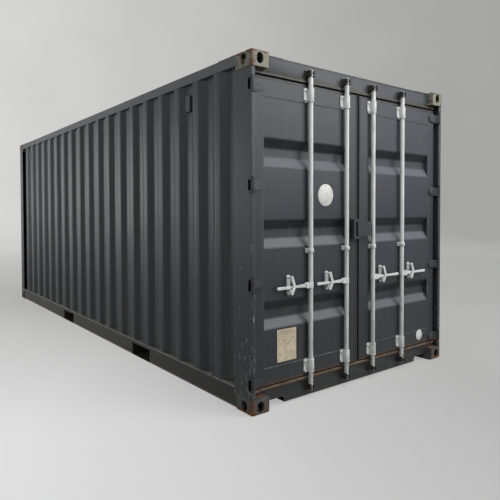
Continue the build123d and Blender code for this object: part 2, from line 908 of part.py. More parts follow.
def bar_bracket(x, z, seat, plate_size, corner, housing_height, neck_height):
    """One plate with a round housing on it, narrowed at both ends, bored for the bar."""
    plate_front = leaf_front - bracket_plate
    with BuildPart(mode=Mode.PRIVATE) as bracket:
        with BuildSketch(front_view(seat)) as plate:
            with Locations((x, z)):
                Rectangle(*plate_size)
            chamfer(plate.vertices(), length=corner)
        extrude(amount=seat - plate_front)
        with BuildSketch(plan(z - housing_height / 2)):
            with Locations((x, (bar_y + plate_front) / 2)):
                Rectangle(2 * bracket_neck_radius, plate_front - bar_y)
        extrude(amount=housing_height)
        with BuildSketch(front_view(bar_y)):
            with BuildLine():
                Polyline(
                    (x, z - housing_height / 2),
                    (x + bracket_neck_radius, z - housing_height / 2),
                    (x + bracket_radius, z - housing_height / 2 + neck_height),
                    (x + bracket_radius, z + housing_height / 2 - neck_height),
                    (x + bracket_neck_radius, z + housing_height / 2),
                    (x, z + housing_height / 2),
                    close=True,
                )
            make_face()
        revolve(axis=Axis((x, bar_y, z), (0, 0, 1)))
        with Locations((x, bar_y, z)):
            Cylinder(bar_radius + bar_fit, plate_size[1], mode=Mode.SUBTRACT)
    return bracket


def bar_brackets():
    """Two large brackets and a small guide between them on each of the leaf's bars."""
    large = ((bracket_width, bracket_height), bracket_corner, bracket_housing_height, bracket_neck_height)
    small = ((guide_width, guide_height), guide_corner, guide_housing_height, guide_neck_height)
    with BuildPart() as brackets:
        for x in bar_positions:
            add(bar_bracket(x, leaf_top - bracket_from_leaf_top, leaf_front, *large).part)
            add(bar_bracket(x, leaf_bottom + bracket_from_leaf_bottom, leaf_front, *large).part)
            add(bar_bracket(x, guide_z, panel_front, *small).part)
    return brackets


def handle_retainers(offset_from_bar):
    """Base plates with a shelf under each handle, a pin and a sealing eye."""
    base_front = leaf_front - retainer_plate
    shelf_top = handle_z - handle_shank_radius - shelf_gap
    shelf_front = -half_length + retainer_shelf_front
    with BuildPart() as retainers:
        for x in [bar + offset_from_bar for bar in bar_positions]:
            with BuildSketch(front_view(panel_front)):
                with Locations((x, (catch_pivot_z + catch_eye_z) / 2)):
                    RectangleRounded(retainer_width, retainer_height, retainer_corner)
            extrude(amount=panel_front - base_front)
            shelf_depth = base_front - shelf_front
            with Locations((x, base_front - shelf_depth / 2, shelf_top - retainer_shelf_height / 2)):
                Box(retainer_shelf_width, shelf_depth, retainer_shelf_height)
            with BuildSketch(front_view(shelf_front + catch_plate)):
                with Locations((x, catch_eye_z)):
                    Circle(catch_eye_radius)
                    Circle(seal_eye_bore, mode=Mode.SUBTRACT)
            extrude(amount=catch_plate)
            with BuildSketch(front_view(base_front)):
                with Locations((x, catch_pivot_z)):
                    Circle(catch_pin_radius)
            extrude(amount=base_front - catch_face)
            with BuildSketch(front_view(catch_face - rivet_fit)):
                with Locations((x, catch_pivot_z)):
                    Circle(catch_pin_head)
            extrude(amount=catch_pin_head_height)
            with BuildSketch(front_view(catch_face)):
                with Locations((x, catch_pivot_z)):
                    Circle(catch_pin_radius)
            extrude(amount=rivet_fit)
    return retainers


def catch(x, lean):
    """Bent swinging plate over a handle, from its pivot round an elbow to an eye for a seal."""
    pivot = (x, catch_pivot_z)
    elbow = (x + lean * catch_elbow_offset, catch_elbow_z)
    eye = (x, catch_eye_z)
    with BuildPart() as plate:
        with BuildSketch(front_view(catch_face + catch_plate)):
            for start, start_radius, end, end_radius in (
                (pivot, catch_pivot_radius, elbow, catch_elbow_radius),
                (elbow, catch_elbow_radius, eye, catch_eye_radius),
            ):
                with BuildSketch(mode=Mode.PRIVATE) as arm:
                    with Locations(start):
                        Circle(start_radius)
                    with Locations(end):
                        Circle(end_radius)
                    make_hull()
                add(arm.sketch)
            with Locations(pivot):
                Circle(catch_pin_radius + rivet_fit, mode=Mode.SUBTRACT)
            with Locations(eye):
                Circle(seal_eye_bore, mode=Mode.SUBTRACT)
        extrude(amount=catch_plate)
    return plate


def handle(x):
    """Flat handle that tapers from its eye at the hub and widens to a rounded tip."""
    pivot = (x + handle_pivot_offset, handle_z)
    shoulder = (x + handle_pivot_offset + handle_shoulder, handle_z)
    tip = (x + handle_reach - handle_tip_radius, handle_z)
    with BuildPart() as lever:
        with BuildSketch(front_view(handle_front + handle_plate)):
            for start, start_radius, end, end_radius in (
                (pivot, handle_eye_radius, shoulder, handle_shank_radius),
                (shoulder, handle_shank_radius, tip, handle_tip_radius),
            ):
                with BuildSketch(mode=Mode.PRIVATE) as stretch:
                    with Locations(start):
                        Circle(start_radius)
                    with Locations(end):
                        Circle(end_radius)
                    make_hull()
                add(stretch.sketch)
        extrude(amount=handle_plate)
        rims = lever.faces().sort_by(Axis.Y)
        chamfer(rims[0].edges() + rims[-1].edges(), length=handle_edge)
        with Locations(Plane(origin=(pivot[0], handle_front, handle_z), z_dir=(0, -1, 0))):
            Hole(rivet_radius + rivet_fit, depth=2 * handle_plate)
    return lever


def lock_bar(x):
    """Tube with a collared cam at each end and a forked hub for its handle."""
    rear_cheek = handle_front + handle_plate + hub_gap + hub_cheek
    with BuildPart() as bar:
        with BuildSketch(plan(bar_low + cam_height)):
            with Locations((x, bar_y)):
                Circle(bar_radius)
                Circle(bar_bore, mode=Mode.SUBTRACT)
        extrude(amount=bar_high - bar_low - 2 * cam_height)
        for end, inward in ((bar_low, 1), (bar_high, -1)):
            tube_end = end + inward * cam_height
            neck_end = tube_end - inward * (bar_radius - cam_neck_radius)
            collar_top = neck_end - inward * cam_collar_height
            collar_foot = collar_top - inward * cam_collar_height
            with BuildSketch(front_view(bar_y)):
                with BuildLine():
                    Polyline(
                        (x, tube_end),
                        (x + bar_radius, tube_end),
                        (x + cam_neck_radius, neck_end),
                        (x + cam_neck_radius, collar_top),
                        (x + cam_collar_radius, collar_top),
                        (x + cam_collar_radius, collar_foot),
                        (x + cam_neck_radius, collar_foot),
                        (x + cam_neck_radius, end),
                        (x, end),
                        close=True,
                    )
                make_face()
            revolve(axis=Axis((x, bar_y, 0), (0, 0, 1)))
            with BuildSketch(plan(end + inward * cam_lobe_end)):
                with Locations((x, bar_y)):
                    RectangleRounded(2 * cam_reach, cam_thickness, cam_lobe_corner)
            extrude(amount=inward * cam_lobe_height)
        with BuildSketch(plan(handle_z - hub_height / 2)):
            with Locations((x, bar_y)):
                Circle(hub_sleeve_radius)
                Circle(bar_bore, mode=Mode.SUBTRACT)
        extrude(amount=hub_height)
        for back in (rear_cheek, handle_front - hub_gap):
            with BuildSketch(front_view(back)):
                with Locations((x + bar_bore + (hub_length - bar_bore) / 2, handle_z)):
                    RectangleRounded(hub_length - bar_bore, hub_height, hub_corner)
            extrude(amount=hub_cheek)
        with BuildSketch(front_view(rear_cheek)):
            with Locations((x + handle_pivot_offset, handle_z)):
                Circle(rivet_radius)
        extrude(amount=handle_plate + 2 * (hub_gap + hub_cheek))
    return bar


for side in ("left", "right"):
    keep(on_side(leaf_frame(), side), f"door_frame_{side}")
    keep(on_side(leaf_panel(), side), f"door_panel_{side}")
    keep(on_side(leaf_seal(), side), f"door_seal_{side}")
    keep(on_side(leaf_hinges(), side), f"door_hinges_{side}")
    keep(on_side(bar_brackets(), side), f"bar_brackets_{side}")
    keep(on_side(handle_retainers(catch_offset[side]), side), f"handle_retainers_{side}")
    for bar_x, place in zip(bar_positions, ("inner", "outer")):
        keep(on_side(lock_bar(bar_x), side), f"lock_bar_{side}_{place}")
        keep(on_side(handle(bar_x), side), f"handle_{side}_{place}")
        keep(on_side(catch(bar_x + catch_offset[side], catch_lean[side]), side), f"catch_{side}_{place}")

# Lock box on the right leaf's centre stile, open at the bottom
box_front = -half_length + lock_box_from_end
box_depth = leaf_front - box_front
with BuildPart() as lock_box:
    box_left = lock_box_from_centre
    with Locations((box_left + lock_box_width / 2, (box_front + leaf_front) / 2, lock_box_z)):
        Box(lock_box_width, box_depth, lock_box_height)
    fillet(lock_box.faces().sort_by(Axis.Y)[0].edges(), radius=lock_box_corner)
    with Locations(
        (
            box_left + lock_box_width / 2,
            (box_front + leaf_front) / 2,
            lock_box_z - lock_box_wall,
        )
    ):
        Box(
            lock_box_width - 2 * lock_box_wall,
            box_depth - 2 * lock_box_wall,
            lock_box_height,
            mode=Mode.SUBTRACT,
        )
keep(lock_box, "lock_box")

# Lock lug on the left leaf's centre stile: a C that faces the box
with BuildPart() as lock_lug:
    lug_right = -lock_box_from_centre
    with BuildSketch(front_view(leaf_front)):
        with Locations((lug_right - lock_lug_width / 2, lock_box_z)):
            Rectangle(lock_lug_width, lock_lug_height)
        with Locations((lug_right - (lock_lug_width - lock_lug_back) / 2, lock_box_z)):
            Rectangle(
                lock_lug_width - lock_lug_back, lock_lug_height - 2 * lock_lug_arm, mode=Mode.SUBTRACT
            )
    extrude(amount=box_depth)
keep(lock_lug, "lock_lug")

# Data plate, riveted flat to the left leaf's panel between its outer bar and stile
plate_x = -(bar_positions[-1] + panel_right) / 2
plate_z = panel_bottom + plate_from_panel_foot
with BuildPart() as data_plate:
    with BuildSketch(front_view(panel_front)):
        with Locations((plate_x, plate_z)):
            RectangleRounded(plate_width, plate_height, plate_corner)
    extrude(amount=plate_thickness)
keep(data_plate, "data_plate")
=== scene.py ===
"""A twenty-foot steel freight container with two door leaves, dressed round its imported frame.

The frame gives each rigid part its place and size. This script adds what steel work shows close up: sheets
with rounded folds, weld beads, bolts, seal lips and wire, and the finish of every surface. Lengths are in
metres, with X to the right as seen from the doors, Y from the doors to the far end, and Z up from the ground.
"""

import json
import logging
from collections.abc import Callable
from dataclasses import dataclass, field
from enum import Enum
from functools import partial

import bmesh
import bpy
import numpy as np
from mathutils import Matrix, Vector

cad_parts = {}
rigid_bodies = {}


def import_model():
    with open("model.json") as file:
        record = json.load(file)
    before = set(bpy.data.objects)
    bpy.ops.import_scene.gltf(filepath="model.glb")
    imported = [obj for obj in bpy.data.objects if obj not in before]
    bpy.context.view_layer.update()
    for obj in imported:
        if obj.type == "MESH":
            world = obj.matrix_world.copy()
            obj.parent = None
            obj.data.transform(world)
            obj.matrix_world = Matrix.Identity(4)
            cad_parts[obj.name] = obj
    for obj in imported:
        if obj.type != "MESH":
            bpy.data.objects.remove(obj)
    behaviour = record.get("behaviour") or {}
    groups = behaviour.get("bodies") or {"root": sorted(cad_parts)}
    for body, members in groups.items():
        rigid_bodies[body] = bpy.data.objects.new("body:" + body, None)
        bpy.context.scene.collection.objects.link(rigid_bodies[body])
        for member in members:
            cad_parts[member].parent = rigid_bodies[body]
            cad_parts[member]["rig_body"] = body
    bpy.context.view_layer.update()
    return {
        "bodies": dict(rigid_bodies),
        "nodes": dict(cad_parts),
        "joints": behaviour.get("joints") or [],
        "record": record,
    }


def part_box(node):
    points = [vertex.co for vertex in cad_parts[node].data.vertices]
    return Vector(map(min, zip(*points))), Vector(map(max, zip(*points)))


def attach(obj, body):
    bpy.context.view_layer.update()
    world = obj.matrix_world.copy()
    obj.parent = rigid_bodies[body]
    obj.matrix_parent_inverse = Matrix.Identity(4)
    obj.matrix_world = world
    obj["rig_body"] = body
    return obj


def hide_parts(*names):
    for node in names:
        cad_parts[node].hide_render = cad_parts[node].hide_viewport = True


log = logging.getLogger("container")

MM = 0.001
SIDES = {"left": -1.0, "right": 1.0}
PLACES = ("inner", "outer")
HALF_LENGTH = 3.029
CASTING = (0.162, 0.178, 0.118)
HINGE_HEIGHTS = (0.220, 0.930, 1.640, 2.350)
INWARD, UPWARD = np.array((0.0, 1.0, 0.0)), np.array((0.0, 0.0, 1.0))

Node = bpy.types.Node
Socket = bpy.types.NodeSocket
Adder = Callable[..., Node]
Place = tuple[float, float, float]


# Shapes: whole arrays of points, and the faces between them


class Facing(Enum):
    """Which way a turned or flat shape looks. The rows say where its across, its up and its outward point."""

    DOORS = ((1, 0, 0), (0, 0, 1), (0, -1, 0))
    FAR_END = ((-1, 0, 0), (0, 0, 1), (0, 1, 0))
    LEFT = ((0, -1, 0), (0, 0, 1), (-1, 0, 0))
    RIGHT = ((0, 1, 0), (0, 0, 1), (1, 0, 0))
    SKY = ((1, 0, 0), (0, 1, 0), (0, 0, 1))

    def place(self, flat: np.ndarray) -> np.ndarray:
        """Turns points (across, up, outward) into points of the frame."""
        return flat @ np.array(self.value, float)


@dataclass
class Shape:
    """Points, four-sided faces, each point's wear, and its dust: settled dust and painted highlight above 0,
    painted shade below 0.
    """

    points: np.ndarray
    faces: np.ndarray
    wear: np.ndarray | None = None
    dust: np.ndarray | None = None

    def repeated(self, places: np.ndarray) -> "Shape":
        """The shape at every place: each copy's points are the shape's own points plus the place.

        Args:
            places: One row of three numbers for each copy.

        Returns:
            All copies as one shape.
        """
        places = np.asarray(places, float).reshape(-1, 3)
        points = places[:, None, :] + self.points[None, :, :]
        faces = np.arange(len(places))[:, None, None] * len(self.points) + self.faces[None]
        return Shape(points.reshape(-1, 3), faces.reshape(-1, 4))


def joined(shapes: list[Shape]) -> Shape:
    """Puts several shapes into one, with each shape's face numbers moved on by the points before it.

    Args:
        shapes: The shapes to join.

    Returns:
        One shape that holds them all.
    """
    counts = np.cumsum([0] + [len(s.points) for s in shapes[:-1]])
    faces = [s.faces + before for s, before in zip(shapes, counts)]
    wear = [np.zeros(len(s.points)) if s.wear is None else s.wear for s in shapes]
    return Shape(np.vstack([s.points for s in shapes]), np.vstack(faces), np.concatenate(wear))


def grid_faces(rows: int, columns: int, ring: bool = False) -> np.ndarray:
    """Faces of a grid of points: each point with the next in its row and the two beside them in the next row.

    Args:
        rows: How many rows of points there are.
        columns: How many points each row has.
        ring: Whether the last row joins the first.

    Returns:
        Four point numbers for each face.
    """
    row, column = np.meshgrid(np.arange(rows if ring else rows - 1), np.arange(columns - 1), indexing="ij")
    here, beyond = row * columns + column, (row + 1) % rows * columns + column
    return np.stack((here, here + 1, beyond + 1, beyond), axis=-1).reshape(-1, 4)


def rounded(corners: np.ndarray, reach: float, steps: int = 5) -> np.ndarray:
    """A line through corners, each rounded by a curve from `reach` before it to `reach` after it.

    With A and B those two points and C the corner, the curve is (1-t)^2 A + 2t(1-t) C + t^2 B, t from 0 to 1.

    Args:
        corners: The line's points, the two ends among them.
        reach: How far from a corner its curve starts.
        steps: How many points each curve gets.

    Returns:
        The points of the rounded line.
    """
    before, corner, after = corners[:-2], corners[1:-1], corners[2:]
    back = (before - corner) / np.linalg.norm(before - corner, axis=1, keepdims=True)
    on = (after - corner) / np.linalg.norm(after - corner, axis=1, keepdims=True)
    t = np.linspace(0, 1, steps)[None, :, None]
    curve = (1 - t) ** 2 * (corner + reach * back)[:, None] + 2 * t * (1 - t) * corner[:, None]
    curve = curve + t**2 * (corner + reach * on)[:, None]
    return np.vstack((corners[:1], curve.reshape(-1, corners.shape[1]), corners[-1:]))


def set_back(line: np.ndarray, amount: float) -> np.ndarray:
    """The line moved sideways by the amount: each point goes along (-dv, du), square to its run (du, dv).

    Args:
        line: Points (u, v) of the line.
        amount: How far it moves, and to which side by its sign.

    Returns:
        The moved points.
    """
    run = np.gradient(line, axis=0)
    run /= np.linalg.norm(run, axis=1, keepdims=True)
    return line + amount * np.stack((-run[:, 1], run[:, 0]), axis=1)


def trapezoid_wave(
    centres: np.ndarray, flat: float, slope: float, depth: float, start: float, end: float
) -> np.ndarray:
    """Corners of a folded sheet's section: level 0 between the folds and level `depth` on each flat.

    Args:
        centres: The middle of each raised flat.
        flat: How wide each raised flat is.
        slope: How much room each sloping web takes.
        depth: The level of the raised flats.
        start: Where the section begins.
        end: Where it ends.

    Returns:
        Points (place, level).
    """
    shifts = np.array((-flat / 2 - slope, -flat / 2, flat / 2, flat / 2 + slope))
    places = (centres[:, None] + shifts[None, :]).ravel()
    levels = np.tile((0.0, depth, depth, 0.0), len(centres))
    return np.vstack(((start, 0.0), np.stack((places, levels), axis=1), (end, 0.0)))


def solid_sheet(front: np.ndarray, back: np.ndarray) -> Shape:
    """A closed sheet of metal between two grids of points, with faces round its four edges.

    Args:
        front: Rows and columns of points on one side.
        back: The points behind them, in the same order.

    Returns:
        The closed sheet.
    """
    rows, columns = front.shape[:2]
    number = np.arange(2 * rows * columns).reshape(2 * rows, columns)
    step = np.arange(rows - 1)
    rims = [
        np.stack((number[step, c], number[step + 1, c], number[-step - 2, c], number[-step - 1, c]), axis=-1)
        for c in (0, columns - 1)
    ]
    points = np.concatenate((front, back[::-1])).reshape(-1, 3)
    return Shape(points, np.vstack((grid_faces(2 * rows, columns, ring=True), *rims)))


def carried(line: np.ndarray, stations: np.ndarray, axes: tuple[int, int, int]) -> np.ndarray:
    """A section carried straight on: the point at (u, v) and w has u, v and w as its three places.

    Args:
        line: Points (u, v) of the section.
        stations: The values of w.
        axes: The axes that u, v and w lie on.

    Returns:
        A grid of points with a row for each point of the line.
    """
    grid = np.empty((len(line), len(stations), 3))
    for axis, values in zip(axes, (line[:, :1], line[:, 1:], stations)):
        grid[..., axis] = values
    return grid


def upright_loop(low: np.ndarray, high: np.ndarray, y: float) -> np.ndarray:
    """The corners of an upright rectangle in order, with the first one again at the end.

    Args:
        low: A point at its lowest corner.
        high: A point at its highest corner.
        y: How far along Y it stands.

    Returns:
        Five points.
    """
    xs, zs = (low[0], high[0]), (low[2], high[2])
    return np.array([(xs[i], y, zs[j]) for i, j in ((0, 0), (1, 0), (1, 1), (0, 1), (0, 0))])


def turned(outline: np.ndarray, sides: int, facing: Facing) -> Shape:
    """A turned solid: each outline point (radius r, height h) goes round as (r cos a, r sin a, h).

    Args:
        outline: Points (radius, height), with radius 0 at both ends.
        sides: How many faces go round it.
        facing: Which way its height points.

    Returns:
        The solid, with its height 0 at the origin.
    """
    angle = np.arange(sides) * 2 * np.pi / sides
    outline = np.asarray(outline, float)
    across = np.cos(angle)[:, None] * outline[None, :, 0]
    up = np.sin(angle)[:, None] * outline[None, :, 0]
    height = np.broadcast_to(outline[None, :, 1], across.shape)
    points = facing.place(np.stack((across, up, height), axis=-1)).reshape(-1, 3)
    return Shape(points, grid_faces(sides, len(outline), ring=True))


def hoop(outline: np.ndarray, sides: int, facing: Facing) -> Shape:
    """A ring: each point (radius r, height h) of a closed outline goes round as (r cos a, r sin a, h).

    Args:
        outline: Points (radius, height) of the ring's section, without the first one again at the end.
        sides: How many faces go round it.
        facing: Which way its height points.

    Returns:
        The ring, with its height 0 at the origin.
    """
    return turned(np.vstack((outline, outline[:1])), sides, facing)


def plate_outline(width: float, height: float, corner: float) -> np.ndarray:
    """The outline of a rectangle with rounded corners, centred on the origin.

    Args:
        width: Its size across.
        height: Its size up.
        corner: How far from a corner its curve starts.

    Returns:
        Points (across, up).
    """
    w, h = width / 2, height / 2
    corners = np.array(((0, -h), (w, -h), (w, h), (-w, h), (-w, -h), (0, -h)))
    return rounded(corners, corner)[:-1]


def prism(outline: np.ndarray, low: float, high: float, facing: Facing) -> Shape:
    """A closed outline carried straight from one level to another, with a flat cap on its middle at each end.

    Args:
        outline: Points (across, up) of the outline.
        low: Where it starts, along the outward direction.
        high: Where it ends.
        facing: Which way outward points.

    Returns:
        The closed prism.
    """
    middle = np.broadcast_to(outline.mean(axis=0), outline.shape)
    flat = np.stack((middle, outline, outline, middle), axis=1)
    level = np.broadcast_to(np.array((low, low, high, high))[None, :, None], (*flat.shape[:2], 1))
    points = facing.place(np.concatenate((flat, level), axis=-1)).reshape(-1, 3)
    return Shape(points, grid_faces(len(outline), 4, ring=True))


def block(low: tuple[float, float, float], high: tuple[float, float, float], corner: float = 1 * MM) -> Shape:
    """A plate with its upright edges rounded as seen from above.

    Args:
        low: One corner of its box.
        high: The corner across from it.
        corner: How far from an edge its curve starts.

    Returns:
        The closed plate.
    """
    low, high = np.minimum(low, high), np.maximum(low, high)
    size, middle = high - low, (low + high) / 2
    return prism(plate_outline(size[0], size[1], corner) + middle[:2], low[2], high[2], Facing.SKY)


def tube(path: np.ndarray, radius: np.ndarray | float, sides: int, beside: np.ndarray) -> Shape:
    """A round bar along a path. Its rings are path + r (cos a N + sin a B) and its ends close to a point.

    N is square to the path's run and to `beside`, and B is square to the run and to N.

    Args:
        path: The points of the centre line.
        radius: The radius, the same all along or one for each point.
        sides: How many faces go round it.
        beside: A direction that no stretch of the path runs along, one for all or one for each point.

    Returns:
        The closed bar.
    """
    run = np.gradient(path, axis=0)
    run /= np.linalg.norm(run, axis=1, keepdims=True)
    across = np.cross(run, np.broadcast_to(beside, run.shape))
    across /= np.linalg.norm(across, axis=1, keepdims=True)
    up = np.cross(run, across)
    radius = np.broadcast_to(radius, len(path)).astype(float)
    angle = np.arange(sides) * 2 * np.pi / sides
    ring = np.cos(angle)[:, None, None] * across + np.sin(angle)[:, None, None] * up
    rings = path[None] + radius[None, :, None] * ring
    ends = [np.broadcast_to(path[i], (sides, 1, 3)) for i in (0, -1)]
    points = np.concatenate((ends[0], rings, ends[1]), axis=1)
    return Shape(points.reshape(-1, 3), grid_faces(sides, len(path) + 2, ring=True))


def resampled(path: np.ndarray, step: float) -> np.ndarray:
    """The same path with points spaced evenly along it, found by its running length.

    Args:
        path: Points of the path.
        step: The wanted spacing.

    Returns:
        The evenly spaced points.
    """
    length = np.concatenate(([0.0], np.cumsum(np.linalg.norm(np.diff(path, axis=0), axis=1))))
    places = np.linspace(0, length[-1], max(2, round(length[-1] / step) + 1))
    return np.stack([np.interp(places, length, path[:, axis]) for axis in range(3)], axis=1)


def placed(name: str, data: bpy.types.ID) -> bpy.types.Object:
    """Puts a mesh, a lamp or a camera into the scene.

    Args:
        name: The object's name.
        data: What the object shows.

    Returns:
        The object, at the origin.
    """
    thing = bpy.data.objects.new(name, data)
    bpy.context.scene.collection.objects.link(thing)
    return thing


def box_of(node: str) -> tuple[np.ndarray, np.ndarray]:
    """A frame node's lowest and highest corner as arrays."""
    low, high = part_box(node)
    return np.array(low), np.array(high)


# Finishes: one class for each way a surface was made


def linear(colour: str) -> tuple[float, float, float, float]:
    """Turns an sRGB colour into linear light: a channel c is c / 12.92 up to 0.04045, and above it
    ((c + 0.055) / 1.055) ^ 2.4.

    Args:
        colour: The colour in hex, such as #3E4247.

    Returns:
        Red, green, blue and a full alpha.
    """
    channel = np.array([int(colour[i : i + 2], 16) for i in (1, 3, 5)]) / 255.0
    light = np.where(channel <= 0.04045, channel / 12.92, ((channel + 0.055) / 1.055) ** 2.4)
    return (*light.tolist(), 1.0)


def add_node(tree: bpy.types.NodeTree, kind: str, *inputs, **named) -> Node:
    """Adds a shader node with its settings, numbers and links.

    A node or a socket is linked, the node by its first output. A colour in hex is turned to linear light, and
    anything else is set as it is.

    Args:
        tree: The material's node tree.
        kind: The node's type without the word ShaderNode.
        inputs: What goes into the first sockets, in their order.
        named: A name with a capital is a socket's, without its spaces. Any other is a setting of the node.

    Returns:
        The node.
    """
    node = tree.nodes.new("ShaderNode" + kind)
    for name in [name for name in named if name[0].islower()]:
        setattr(node, name, named.pop(name))
    sockets = {socket.name.replace(" ", ""): socket for socket in list(node.inputs)[::-1]}
    filled = [*zip(node.inputs, inputs), *((sockets[name], value) for name, value in named.items())]
    for socket, value in filled:
        value = value.outputs[0] if isinstance(value, Node) else value
        if isinstance(value, Socket):
            tree.links.new(value, socket)
        else:
            socket.default_value = linear(value) if isinstance(value, str) else value
    return node


def per_metre(millimetres: float) -> float:
    """The texture scale at which one feature of a pattern is that many millimetres across."""
    return 1.0 / (millimetres * MM)


@dataclass(frozen=True)
class Finish:
    """What every finish has. A subclass adds its own fields and paints them in `paint`."""

    name: str

    def paint(self, add: Adder, spot: Socket) -> Node:
        """Lays out the material. Each subclass does this in its own way.

        Args:
            add: Adds a node to the material.
            spot: The place on the object.

        Returns:
            The shader.
        """
        raise NotImplementedError

    def made(self) -> bpy.types.Material:
        """The finish as a material, made once and then reused.

        Returns:
            The material.
        """
        material = bpy.data.materials.get(self.name)
        if material is None:
            material = bpy.data.materials.new(self.name)
            material.use_nodes = True
            material.node_tree.nodes.clear()
            add = partial(add_node, material.node_tree)
            add("OutputMaterial", self.paint(add, add("TexCoord").outputs["Object"]))
        return material


@dataclass(frozen=True)
class Patches:
    """Patches of rust, dirt or wear: their colour fades in as a noise rises from one level to another.

    The size is that of one patch in millimetres, and the grit is how much of the noise is fine.
    """

    colour: str
    across_mm: float
    detail: float
    levels: tuple[float, float]
    strength: float = 1.0
    grit: float = 0.5
    stretch: tuple[float, float, float] | None = None
    distortion: float = 0.0

    def over(
        self, add: Adder, spot: Socket, under: Node | str, more: Node | None = None
    ) -> tuple[Node, Node, Node]:
        """Lays the patches over a colour.

        Args:
            add: Adds a node to the material.
            spot: The place on the object.
            under: The colour below.
            more: What is added to the noise, so that more shows.

        Returns:
            The colour with its patches, the noise, and how much of the patches shows.
        """
        vector = add("Mapping", Vector=spot, Scale=self.stretch) if self.stretch else spot
        grain = {"Scale": per_metre(self.across_mm), "Detail": self.detail, "Roughness": self.grit}
        noise = add("TexNoise", Vector=vector, Distortion=self.distortion, **grain)
        noise = add("Math", noise, more, operation="ADD") if more else noise
        amount = add("MapRange", noise, *self.levels, 0.0, self.strength)
        return add("MixRGB", amount, under, self.colour), noise, amount


@dataclass(frozen=True)
class Band:
    """A level strip along a seam: dirt or rust that water leaves, a painted highlight on a lip, or painted
    shade.
    """

    low: float
    high: float
    colour: str
    strength: float
    softness: float = 0.006


